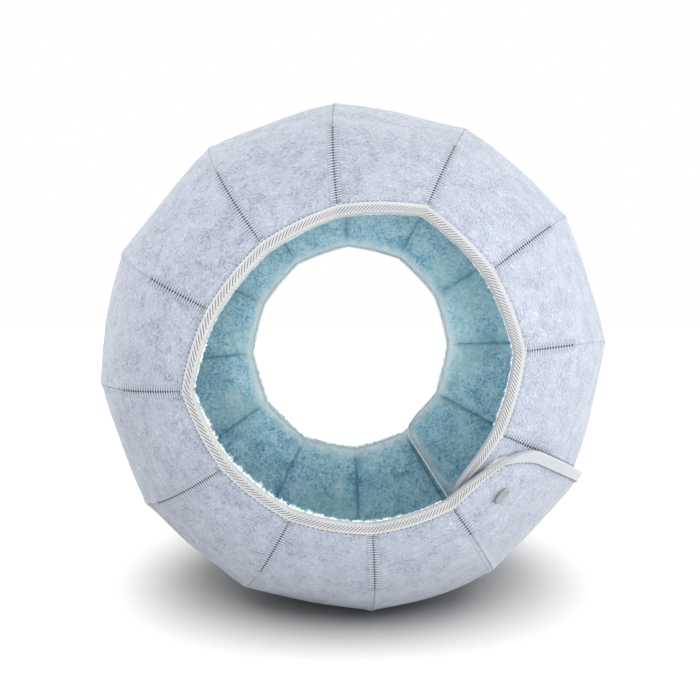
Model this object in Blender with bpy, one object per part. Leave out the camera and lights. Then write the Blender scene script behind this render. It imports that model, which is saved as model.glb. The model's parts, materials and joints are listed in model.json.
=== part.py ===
"""A felt cat cave: a gored ball, open front and back, that rests on the floor.

One strip of thirteen felt panels, each lined with plush, is bound round its whole edge with a
folded tape and rolled into a ball. Its flap laps outside its underlap at the lower right, under
a round snap. The ball's axis runs along Y, its front opening faces -Y, and the floor is Z = 0
under the middle of the ball. Lengths are in metres and angles in degrees. A depth is an angle
of the seams' ellipse: 0 at the ball's middle, negative towards the front.
"""

import math
from typing import NamedTuple

import bmesh
import bpy
from mathutils import Vector
from mathutils.bvhtree import BVHTree

# The ball: every seam follows one ellipse, turned about the ball's axis.
CORNER_RADIUS = 0.240  # from the axis out to a seam, at mid-depth
ELLIPSE_HALF_DEPTH = 0.216  # the ellipse's half axis along Y
FLOOR_PRESS = 0.007  # how far the weight flattens the lowest seam
TWIST_FRONT = -3.4  # how far the seams lean round at the front opening
TWIST_BACK = 0.65
RIM_DEPTH = 60.8  # of the openings, about

# The cloth, through its thickness.
FELT = 0.003
FELT_SUNK = 0.001  # how far the binding presses the felt's edge in
FELT_EDGE = 0.0012  # the felt inside the binding's fold
GAP = 0.0003  # between pieces that touch
BINDING_GAP = 0.0004  # the same, inside the binding's fold
PLUSH_PUFF = 0.0055  # the lining in the middle of a panel
PLUSH_SEAM = 0.0034  # where a seam or the binding's stitches draw it down
PLUSH_EDGE = 0.0008  # inside the binding's fold
TAPE = 0.0008
TAPE_WIDTH = 0.0074  # of the cloth that the binding covers, from the edge in

# The shape of a panel between two seams.
PANEL_TURN = 30.0  # from one seam to the next, about
RIM_CROWN = 0.0039  # rise at the openings, which are nearly round
PANEL_COLUMNS = (0.0, 0.25, 0.5, 0.75, 1.0)
PANEL_ROWS = 10  # between the two strips of binding
FLOOR_COLUMNS = (0.0, 0.1, 0.2, 0.32, 0.65, 1.0)  # from the seam on the floor
FLOOR_ROW_STEP = 3.9  # degrees between the rows that meet the floor
FLOOR_ROWS = 3  # of those rows, each side of the middle
SLOPE_ROWS = 4  # from them to the binding


class Line(NamedTuple):
    """A line across the strip, a seam or a free end, and the panel that follows it."""

    bearing: float  # degrees clockwise from the top, seen from the front
    front: float  # radius of the front opening there
    back: float  # radius of the back opening there
    lift: float  # how far the cloth stands out from the plain ball
    crown: float  # rise of the following panel at mid-depth


LINES = (
    Line(bearing=146.5, front=0.1255, back=0.1185, lift=-0.014, crown=0.002),
    Line(bearing=117.1, front=0.1197, back=0.1185, lift=-0.007, crown=0.002),
    Line(bearing=86.8, front=0.124, back=0.1175, lift=-0.002, crown=0.002),
    Line(bearing=56.7, front=0.1221, back=0.1195, lift=0.0, crown=0.003),
    Line(bearing=26.6, front=0.1292, back=0.1238, lift=0.0, crown=0.002),
    Line(bearing=-3.2, front=0.118, back=0.1248, lift=0.0, crown=0.002),
    Line(bearing=-33.2, front=0.1122, back=0.1228, lift=0.0, crown=0.002),
    Line(bearing=-63.9, front=0.1137, back=0.1205, lift=0.0, crown=0.003),
    Line(bearing=-93.6, front=0.1268, back=0.1218, lift=0.0, crown=0.002),
    Line(bearing=-123.1, front=0.1196, back=0.1233, lift=0.0, crown=0.002),
    Line(bearing=-152.8, front=0.1176, back=0.1248, lift=0.0, crown=0.002),
    Line(bearing=-182.5, front=0.1183, back=0.1228, lift=0.0, crown=0.005),
    Line(bearing=-211.9, front=0.122, back=0.1205, lift=0.0005, crown=0.0015),
    Line(bearing=-242.5, front=0.123, back=0.1205, lift=0.002, crown=0.002),
)
PANELS = len(LINES) - 1
UNDERLAP = 0
FLAP = PANELS - 1
FLOOR_SEAM = 11  # the line that rests on the floor

# The free ends: the flap has a well rounded end, the underlap a squarer one.
END_COLUMNS = (0.0, 0.3, 0.62)  # from the seam to the binding's border
END_ROWS = (0.07, 0.13, 0.22, 0.36, 0.5, 0.64, 0.78, 0.87, 0.93)  # between its two strips
END_CORNER = 52.0  # where, round a corner, the side becomes the end
END_CORNER_ROW = 0.13  # where the straight part of the end starts


class EndShape(NamedTuple):
    """The rounding of a free end: a quarter of a superellipse at each corner."""

    depth: float  # degrees of ellipse from the opening to the straight part
    power: float


END_SHAPES = {
    UNDERLAP: EndShape(depth=7.0, power=4.0),
    FLAP: EndShape(depth=12.0, power=2.3),
}

# The snap on the flap.
SNAP_RADIUS = 0.0079
SNAP_HEIGHT = 0.0024
SNAP_EDGE = 0.0008
SNAP_ACROSS = 0.465  # share of the flap, from its seam
SNAP_DEPTH = -50.1
SNAP_SIDES = 24
SNAP_RINGS = 4

CENTRE_HEIGHT = -CORNER_RADIUS * math.cos(math.radians(LINES[FLOOR_SEAM].bearing)) - FLOOR_PRESS
MITRE = 1.0 / math.cos(math.radians(PANEL_TURN / 2.0))
RIM_STRETCH = math.hypot(
    CORNER_RADIUS * math.sin(math.radians(RIM_DEPTH)),
    ELLIPSE_HALF_DEPTH * math.cos(math.radians(RIM_DEPTH)),
)  # metres along a seam for each radian of depth, at the openings
TAPE_DEPTH = math.degrees(TAPE_WIDTH / RIM_STRETCH)  # of the binding at the openings
BESIDE = 0.1  # of a panel's width, to tell which way is inwards
WELD = 1e-6

# A grid point of a panel: its share across, from line to line, and its depth.
Spot = tuple[float, float]


def rim_depth(panel: int, across: float, front: bool) -> float:
    """The depth at which a panel's edge lies."""
    first, second = LINES[panel], LINES[panel + 1]
    sign = -1.0 if front else 1.0
    ends = [line.front if front else line.back for line in (first, second)]
    depths = [sign * math.degrees(math.acos(radius / CORNER_RADIUS)) for radius in ends]
    return depths[0] + across * (depths[1] - depths[0])


def line_point(line: Line, depth: float, offset: float) -> Vector:
    """A point of a line across the strip, offset outwards, about the ball's centre."""
    angle = math.radians(depth)
    normal = Vector((math.cos(angle) / CORNER_RADIUS, math.sin(angle) / ELLIPSE_HALF_DEPTH))
    normal.normalize()
    stand_off = line.lift + offset
    radius = CORNER_RADIUS * math.cos(angle) + stand_off * MITRE * normal.x
    along = ELLIPSE_HALF_DEPTH * math.sin(angle) + stand_off * normal.y
    lean = abs(along) / (ELLIPSE_HALF_DEPTH * math.sin(math.radians(RIM_DEPTH)))
    lean *= TWIST_FRONT if along < 0.0 else TWIST_BACK
    bearing = math.radians(line.bearing + lean)
    return Vector((radius * math.sin(bearing), along, radius * math.cos(bearing)))


def free_point(panel: int, spot: Spot, offset: float) -> Vector:
    """A point of a panel before the floor presses it, about the ball's centre."""
    across, depth = spot
    start = line_point(LINES[panel], depth, offset)
    end = line_point(LINES[panel + 1], depth, offset)
    middle = (start + end) / 2.0
    angle = math.radians(depth)
    outwards = Vector((middle.x, 0.0, middle.z)).normalized() * (math.cos(angle) / CORNER_RADIUS)
    outwards.y = math.sin(angle) / ELLIPSE_HALF_DEPTH
    share = min(1.0, (depth / RIM_DEPTH) ** 2)
    crown = LINES[panel].crown * (1.0 - share) + RIM_CROWN * share
    rise = 4.0 * across * (1.0 - across) * crown
    return start.lerp(end, across) + outwards.normalized() * rise


def cloth_point(panel: int, spot: Spot, offset: float) -> Vector:
    """A point of a panel in the world, offset outwards from the felt's outer face."""
    point = free_point(panel, spot, offset)
    point.z += CENTRE_HEIGHT
    sunk = -(free_point(panel, spot, 0.0).z + CENTRE_HEIGHT)
    point.z += max(0.0, sunk)
    return point


def material(name: str, colour: tuple[float, float, float], roughness: float) -> bpy.types.Material:
    """A plain Principled material."""
    made = bpy.data.materials.new(name)
    made.use_nodes = True
    shader = made.node_tree.nodes["Principled BSDF"]
    shader.inputs["Base Color"].default_value = (*colour, 1.0)
    shader.inputs["Roughness"].default_value = roughness
    shader.inputs["Metallic"].default_value = 0.0
    return made


def finished_object(
    name: str, mesh_tool: bmesh.types.BMesh, finish: bpy.types.Material
) -> bpy.types.Object:
    """An object with the mesh that was built, smooth but for its real edges."""
    bmesh.ops.triangulate(
        mesh_tool, faces=mesh_tool.faces, quad_method="SHORT_EDGE", ngon_method="BEAUTY"
    )
    bmesh.ops.recalc_face_normals(mesh_tool, faces=mesh_tool.faces)
    if mesh_tool.calc_volume(signed=True) < 0.0:
        bmesh.ops.reverse_faces(mesh_tool, faces=mesh_tool.faces)
    mesh = bpy.data.meshes.new(name)
    mesh_tool.to_mesh(mesh)
    mesh_tool.free()
    mesh.shade_smooth()
    mesh.set_sharp_from_angle(angle=math.radians(PANEL_TURN))
    mesh.materials.append(finish)
    made = bpy.data.objects.new(name, mesh)
    bpy.context.collection.objects.link(made)
    return made


def grid_mesh(columns: int, rows: int) -> bmesh.types.BMesh:
    """A flat grid whose points lie at whole numbers, from 0 to columns and to rows."""
    mesh_tool = bmesh.new()
    bmesh.ops.create_grid(mesh_tool, x_segments=columns, y_segments=rows, size=0.5)
    bmesh.ops.translate(mesh_tool, vec=(0.5, 0.5, 0.0), verts=mesh_tool.verts)
    bmesh.ops.scale(mesh_tool, vec=(columns, rows, 1.0), verts=mesh_tool.verts)
    return mesh_tool


def corner_spot(panel: int, turn: float, front: bool) -> Vector:
    """A point of an end panel's corner: share out from its seam, and depth."""
    shape = END_SHAPES[panel]
    power = 2.0 / shape.power
    angle = math.radians(turn)
    out = math.sin(angle) ** power
    inwards = shape.depth * (1.0 - max(0.0, math.cos(angle)) ** power)
    depth = rim_depth(panel, end_across(panel, out), front)
    return Vector((out, depth + (inwards if front else -inwards)))


def end_across(panel: int, out: float) -> float:
    """The share across an end panel, for a share out from its seam."""
    return 1.0 - out if panel == UNDERLAP else out


def end_side(panel: int, row: float) -> Vector:
    """A point of a free end, from its front corner (row 0) to its back corner (row 1)."""
    from_corner = min(row, 1.0 - row)
    if from_corner <= END_CORNER_ROW:
        turn = END_CORNER + (90.0 - END_CORNER) * from_corner / END_CORNER_ROW
        return corner_spot(panel, turn, row < 0.5)
    start = corner_spot(panel, 90.0, True)
    stop = corner_spot(panel, 90.0, False)
    return start.lerp(stop, (row - END_CORNER_ROW) / (1.0 - 2.0 * END_CORNER_ROW))


def end_spot(panel: int, column: float, row: float) -> Spot:
    """A grid point of an end panel, blended from its seam, its end and its two openings."""
    seam_front, seam_back = (corner_spot(panel, 0.0, front) for front in (True, False))
    side_front, side_back = (corner_spot(panel, END_CORNER * column, front) for front in (True, False))
    end_front, end_back = (corner_spot(panel, END_CORNER, front) for front in (True, False))
    seam = seam_front.lerp(seam_back, row)
    across_blend = seam.lerp(end_side(panel, row), column)
    along_blend = side_front.lerp(side_back, row)
    corner_blend = seam.lerp(end_front.lerp(end_back, row), column)
    spot = across_blend + along_blend - corner_blend
    return end_across(panel, spot.x), spot.y


def end_columns(row: float) -> list[float]:
    """Shares of an end panel's columns: the last but one runs along the binding's border."""
    depth = math.radians(RIM_DEPTH * (2.0 * row - 1.0))
    width = CORNER_RADIUS * math.cos(depth) * math.radians(PANEL_TURN)
    return [*END_COLUMNS, 1.0 - TAPE_WIDTH / width, 1.0]


def end_grid(panel: int) -> list[list[Spot]]:
    """An end panel's grid points, in columns from its seam."""
    border = TAPE_DEPTH / (2.0 * RIM_DEPTH)
    rows = [0.0, border, *END_ROWS, 1.0 - border, 1.0]
    lines = [[end_spot(panel, column, row) for column in end_columns(row)] for row in rows]
    return [list(column) for column in zip(*lines)]


def panel_rows(panel: int, across: float) -> list[float]:
    """The depths of a full panel's rows, from the front opening to the back one."""
    front = rim_depth(panel, across, True)
    back = rim_depth(panel, across, False)
    first, last = front + TAPE_DEPTH, back - TAPE_DEPTH
    if panel not in (FLOOR_SEAM - 1, FLOOR_SEAM):
        step = (last - first) / PANEL_ROWS
        return [front, *(first + step * row for row in range(PANEL_ROWS + 1)), back]
    reach = FLOOR_ROWS * FLOOR_ROW_STEP
    shares = [row / SLOPE_ROWS for row in range(SLOPE_ROWS)]
    down = [first + share * (-reach - first) for share in shares]
    level = [row * FLOOR_ROW_STEP for row in range(-FLOOR_ROWS, FLOOR_ROWS + 1)]
    up = [last + share * (reach - last) for share in reversed(shares)]
    return [front, *down, *level, *up, back]


def panel_grid(panel: int) -> list[list[Spot]]:
    """A panel's grid points, in columns: a full panel's from its first line, an end's from its seam."""
    if panel in END_SHAPES:
        return end_grid(panel)
    columns = list(PANEL_COLUMNS)
    if panel == FLOOR_SEAM:
        columns = list(FLOOR_COLUMNS)
    elif panel == FLOOR_SEAM - 1:
        columns = [1.0 - column for column in reversed(FLOOR_COLUMNS)]
    return [[(across, depth) for depth in panel_rows(panel, across)] for across in columns]


def steps_from_binding(panel: int, column: int, row: int, grid: list[list[Spot]]) -> int:
    """How many grid steps a point lies in from the strip's own edge."""
    steps = min(row, len(grid[0]) - 1 - row)
    if panel in END_SHAPES:
        steps = min(steps, len(grid) - 1 - column)
    return steps


def felt_faces(panel: int, column: int, row: int, grid: list[list[Spot]]) -> tuple[float, float]:
    """Offsets of the felt's two faces: the binding presses its edge."""
    if steps_from_binding(panel, column, row, grid) == 0:
        return -FELT_SUNK, -FELT_SUNK - FELT_EDGE
    return 0.0, -FELT


def lining_faces(panel: int, column: int, row: int, grid: list[list[Spot]]) -> tuple[float, float]:
    """Offsets of the plush's two faces: it puffs, but is drawn down at seams and edges."""
    top = felt_faces(panel, column, row, grid)[1] - GAP
    steps = steps_from_binding(panel, column, row, grid)
    if steps == 0:
        return top, top - PLUSH_EDGE
    if steps == 1 or column in (0, len(grid) - 1):
        return top, top - PLUSH_SEAM
    return top, top - PLUSH_PUFF


def seam_clearance(panel: int, spot: Spot) -> Vector:
    """Half the gap that a sewn edge keeps from its neighbour, as a step into the panel."""
    across, depth = spot
    beside = (across + math.copysign(BESIDE, 0.5 - across), depth)
    inwards = free_point(panel, beside, 0.0) - free_point(panel, spot, 0.0)
    return inwards.normalized() * (GAP / 2.0)


def cloth_panel(name: str, panel: int, lining: bool, finish: bpy.types.Material) -> bpy.types.Object:
    """One panel of one layer: a flat grid, extruded once and laid on the ball."""
    grid = panel_grid(panel)
    columns, rows = len(grid) - 1, len(grid[0]) - 1
    mesh_tool = grid_mesh(columns, rows)
    extruded = bmesh.ops.extrude_face_region(mesh_tool, geom=mesh_tool.faces[:])
    backs = {item for item in extruded["geom"] if isinstance(item, bmesh.types.BMVert)}
    for vertex in mesh_tool.verts:
        column, row = round(vertex.co.x), round(vertex.co.y)
        spot = grid[column][row]
        faces = (lining_faces if lining else felt_faces)(panel, column, row, grid)
        vertex.co = cloth_point(panel, spot, faces[vertex in backs])
        if column == 0 or (column == columns and panel not in END_SHAPES):
            vertex.co += seam_clearance(panel, spot)
    return finished_object(name, mesh_tool, finish)


class EdgeStep(NamedTuple):
    """One step of the binding's way round the strip."""

    panel: int
    edge: Spot
    border: Spot  # beside it, where the binding's two borders lie
    border_back: float  # offset of the plush's inner face there


def edge_step(panel: int, grid: list[list[Spot]], at: tuple[int, int], beside: tuple[int, int]) -> EdgeStep:
    """The step at one grid point, with the grid point beside it at the border."""
    back = lining_faces(panel, *beside, grid)[1]
    return EdgeStep(panel, grid[at[0]][at[1]], grid[beside[0]][beside[1]], back)


def opening_steps(panel: int, front: bool) -> list[EdgeStep]:
    """A full panel's edge at one opening, without its last column, which the next panel has."""
    grid = panel_grid(panel)
    last = len(grid[0]) - 1
    row, beside = (0, 1) if front else (last, last - 1)
    return [edge_step(panel, grid, (column, row), (column, beside)) for column in range(len(grid) - 1)]


def end_steps(panel: int) -> list[EdgeStep]:
    """An end panel's edge, from the front of its seam round to the back of its seam."""
    grid = panel_grid(panel)
    end, last = len(grid) - 1, len(grid[0]) - 1
    steps = [edge_step(panel, grid, (column, 0), (column, 1)) for column in range(end)]
    steps.append(edge_step(panel, grid, (end, 0), (end - 1, 1)))
    steps += [edge_step(panel, grid, (end, row), (end - 1, row)) for row in range(1, last)]
    steps.append(edge_step(panel, grid, (end, last), (end - 1, last - 1)))
    steps += [edge_step(panel, grid, (column, last), (column, last - 1)) for column in range(end - 1, -1, -1)]
    return steps


def binding_route() -> list[EdgeStep]:
    """The strip's whole edge: front opening, flap, back opening and underlap."""
    full = range(UNDERLAP + 1, FLAP)
    route = [step for panel in full for step in opening_steps(panel, True)]
    route += end_steps(FLAP)
    for panel in reversed(full):
        route += reversed(opening_steps(panel, False))
    return route + end_steps(UNDERLAP)[-2:0:-1]


def binding_section(step: EdgeStep) -> list[Vector]:
    """The folded tape's outline at one step: a U round the strip's edge."""

    def at_edge(offset: float, beyond: float) -> Vector:
        edge = cloth_point(step.panel, step.edge, offset)
        outwards = edge - cloth_point(step.panel, step.border, offset)
        return edge + outwards.normalized() * beyond

    def at_border(offset: float) -> Vector:
        return cloth_point(step.panel, step.border, offset)

    edge_front = GAP - FELT_SUNK
    edge_back = -FELT_SUNK - FELT_EDGE - GAP - PLUSH_EDGE - BINDING_GAP
    border_back = step.border_back - BINDING_GAP
    return [
        at_border(GAP + TAPE),
        at_edge(edge_front + TAPE, GAP + TAPE),
        at_edge(edge_back - TAPE, GAP + TAPE),
        at_border(border_back - TAPE),
        at_border(border_back),
        at_edge(edge_back, GAP),
        at_edge(edge_front, GAP),
        at_border(GAP),
    ]


def binding_tape(name: str, finish: bpy.types.Material) -> bpy.types.Object:
    """The tape: a grid of its outline along its route, welded into a closed ring."""
    sections = [binding_section(step) for step in binding_route()]
    steps, corners = len(sections), len(sections[0])
    mesh_tool = grid_mesh(steps, corners)
    for vertex in mesh_tool.verts:
        step, corner = round(vertex.co.x) % steps, round(vertex.co.y) % corners
        vertex.co = sections[step][corner]
    bmesh.ops.remove_doubles(mesh_tool, verts=mesh_tool.verts, dist=WELD)
    return finished_object(name, mesh_tool, finish)


def snap_cap(name: str, flap: bpy.types.Object, finish: bpy.types.Material) -> bpy.types.Object:
    """The round cap, a shallow dome with a rim, seated on the flap's felt."""
    outside = cloth_point(FLAP, (SNAP_ACROSS, SNAP_DEPTH), SNAP_RADIUS)
    inside = cloth_point(FLAP, (SNAP_ACROSS, SNAP_DEPTH), 0.0)
    seat, normal, _, _ = BVHTree.FromObject(flap, bpy.context.evaluated_depsgraph_get()).ray_cast(
        outside, inside - outside
    )
    mesh_tool = bmesh.new()
    profile = [mesh_tool.verts.new((0.0, 0.0, 0.0)), mesh_tool.verts.new((SNAP_RADIUS, 0.0, 0.0))]
    for ring in range(SNAP_RINGS + 1):
        angle = math.radians(90.0 * ring / SNAP_RINGS)
        height = SNAP_EDGE + (SNAP_HEIGHT - SNAP_EDGE) * math.sin(angle)
        profile.append(mesh_tool.verts.new((SNAP_RADIUS * math.cos(angle), 0.0, height)))
    edges = [mesh_tool.edges.new(pair) for pair in zip(profile, profile[1:])]
    bmesh.ops.spin(
        mesh_tool,
        geom=profile + edges,
        cent=(0.0, 0.0, 0.0),
        axis=(0.0, 0.0, 1.0),
        angle=math.tau,
        steps=SNAP_SIDES,
        use_merge=True,
    )
    bmesh.ops.remove_doubles(mesh_tool, verts=mesh_tool.verts, dist=WELD)
    made = finished_object(name, mesh_tool, finish)
    made.location = seat + normal * GAP
    made.rotation_mode = "QUATERNION"
    made.rotation_quaternion = normal.to_track_quat("Z", "Y")
    return made


def panel_name(layer: str, panel: int) -> str:
    """The node name of a panel: its layer, and its place along the strip."""
    if panel == UNDERLAP:
        return f"{layer}_underlap"
    if panel == FLAP:
        return f"{layer}_flap"
    return f"{layer}_panel_{panel:02d}"


def main() -> None:
    """Clears the scene and builds every piece."""
    for item in list(bpy.data.objects):
        bpy.data.objects.remove(item, do_unlink=True)
    felt = material("heather_felt", (0.60, 0.65, 0.74), 0.95)
    plush = material("teal_plush", (0.20, 0.43, 0.49), 0.9)
    twill = material("twill_tape", (0.62, 0.65, 0.68), 0.7)
    snap = material("grey_snap", (0.36, 0.40, 0.44), 0.45)
    ball = bpy.data.objects.new("ball", None)
    bpy.context.collection.objects.link(ball)
    pieces = []
    for panel in range(PANELS):
        pieces.append(cloth_panel(panel_name("felt", panel), panel, False, felt))
        pieces.append(cloth_panel(panel_name("lining", panel), panel, True, plush))
    flap = bpy.data.objects[panel_name("felt", FLAP)]
    pieces.append(binding_tape("binding_tape", twill))
    pieces.append(snap_cap("snap_cap", flap, snap))
    for piece in pieces:
        piece.parent = ball


main()
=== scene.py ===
"""The looks of a felt cat cave: a gored ball lined with plush and bound with tape.

The ball's axis runs along Y, its front opening faces -Y, and the floor is Z = 0 under
its middle. Lengths are in metres and angles in degrees. A depth is an angle of the
seams' ellipse: 0 at the ball's middle, negative towards the front. On a panel, s runs
from its first line to its second (on an end panel, from its seam out to its free end),
and t from the front opening to the back.
"""

import json
import logging
import math
from dataclasses import dataclass, field
from enum import Enum

import bmesh
import bpy
import numpy as np
from mathutils import Matrix, Vector

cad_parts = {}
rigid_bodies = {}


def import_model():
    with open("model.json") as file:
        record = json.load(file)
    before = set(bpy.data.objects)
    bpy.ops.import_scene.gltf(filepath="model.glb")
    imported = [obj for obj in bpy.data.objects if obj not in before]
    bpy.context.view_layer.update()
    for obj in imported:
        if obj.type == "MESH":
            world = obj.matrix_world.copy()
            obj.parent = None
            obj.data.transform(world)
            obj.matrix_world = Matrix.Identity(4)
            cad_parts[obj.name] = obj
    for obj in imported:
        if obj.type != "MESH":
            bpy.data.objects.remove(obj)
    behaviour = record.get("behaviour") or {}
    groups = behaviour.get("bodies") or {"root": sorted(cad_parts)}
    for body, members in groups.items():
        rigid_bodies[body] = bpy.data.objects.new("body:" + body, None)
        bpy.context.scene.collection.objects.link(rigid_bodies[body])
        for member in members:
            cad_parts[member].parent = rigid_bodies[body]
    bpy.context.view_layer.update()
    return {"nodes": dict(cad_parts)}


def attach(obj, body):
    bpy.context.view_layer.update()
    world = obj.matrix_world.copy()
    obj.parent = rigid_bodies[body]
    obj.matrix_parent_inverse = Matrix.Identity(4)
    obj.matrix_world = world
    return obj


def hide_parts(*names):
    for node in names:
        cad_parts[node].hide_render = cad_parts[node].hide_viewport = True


LOG = logging.getLogger("felt_cat_cave")

Array = np.ndarray
BMesh = bmesh.types.BMesh
Material = bpy.types.Material
Mesh = bpy.types.Mesh
Node = bpy.types.Node
NodeTree = bpy.types.NodeTree
Piece = bpy.types.Object
Socket = bpy.types.NodeSocket

UNDERLAP = 0  # the panel under the flap
FLAP = 12  # the panel with the snap
FLOOR_SEAM = 11  # the seam that the ball rests on
WELD = 1e-6
PROBE = 0.001  # how far off a point is taken to find which way is out


@dataclass(frozen=True)
class Line:
    """A line across the strip, a seam or a free end, and the panel that follows it."""

    bearing: float  # degrees clockwise from the top, seen from the front
    front: float  # radius of the front opening there
    back: float  # radius of the back opening there
    lift: float  # how far the cloth stands out from the plain ball
    crown: float  # rise of the following panel at mid-depth
    ladder: float  # depth at which the seam's ladder stitches stop


LINES = (
    Line(146.5, 0.1255, 0.1185, -0.014, 0.002, 60.0),
    Line(117.1, 0.1197, 0.1185, -0.007, 0.002, 42.0),
    Line(86.8, 0.124, 0.1175, -0.002, 0.002, 42.0),
    Line(56.7, 0.1221, 0.1195, 0.0, 0.003, 34.0),
    Line(26.6, 0.1292, 0.1238, 0.0, 0.002, 34.0),
    Line(-3.2, 0.118, 0.1248, 0.0, 0.002, 35.0),
    Line(-33.2, 0.1122, 0.1228, 0.0, 0.002, 36.0),
    Line(-63.9, 0.1137, 0.1205, 0.0, 0.003, 42.0),
    Line(-93.6, 0.1268, 0.1218, 0.0, 0.002, 37.0),
    Line(-123.1, 0.1196, 0.1233, 0.0, 0.002, 32.0),
    Line(-152.8, 0.1176, 0.1248, 0.0, 0.002, 39.0),
    Line(-182.5, 0.1183, 0.1228, 0.0, 0.005, 40.0),
    Line(-211.9, 0.122, 0.1205, 0.0005, 0.0015, 48.0),
    Line(-242.5, 0.123, 0.1205, 0.002, 0.002, 60.0),
)
PANELS = len(LINES) - 1


@dataclass(frozen=True)
class EndShape:
    """The rounding of a free end: a quarter of a superellipse at each corner."""

    depth: float
    power: float


END_SHAPES = {UNDERLAP: EndShape(7.0, 4.0), FLAP: EndShape(12.0, 2.3)}


class Side(Enum):
    """One of the ball's two openings."""

    FRONT = -1.0
    BACK = 1.0


class Layer(Enum):
    """One of the two layers of cloth."""

    FELT = "felt"
    LINING = "lining"


def lerp(first: Array, second: Array, share: Array) -> Array:
    """Blends two arrays.

    Args:
        first: The values at share 0.
        second: The values at share 1.
        share: How far to go from the first to the second.

    Returns:
        The blended values.
    """
    return first + (second - first) * share


def bump(distance: Array, width: float) -> Array:
    """A smooth hill, 1 at distance 0, that falls away over a width."""
    return np.exp(-((distance / width) ** 2))


def unit(vectors: Array) -> Array:
    """Vectors scaled to a length of 1."""
    return vectors / np.maximum(1e-12, np.linalg.norm(vectors, axis=-1, keepdims=True))


def node_name(layer: Layer, panel: int) -> str:
    """The CAD node of a panel in one layer."""
    place = {UNDERLAP: "underlap", FLAP: "flap"}.get(panel, f"panel_{panel:02d}")
    return f"{layer.value}_{place}"


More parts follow.
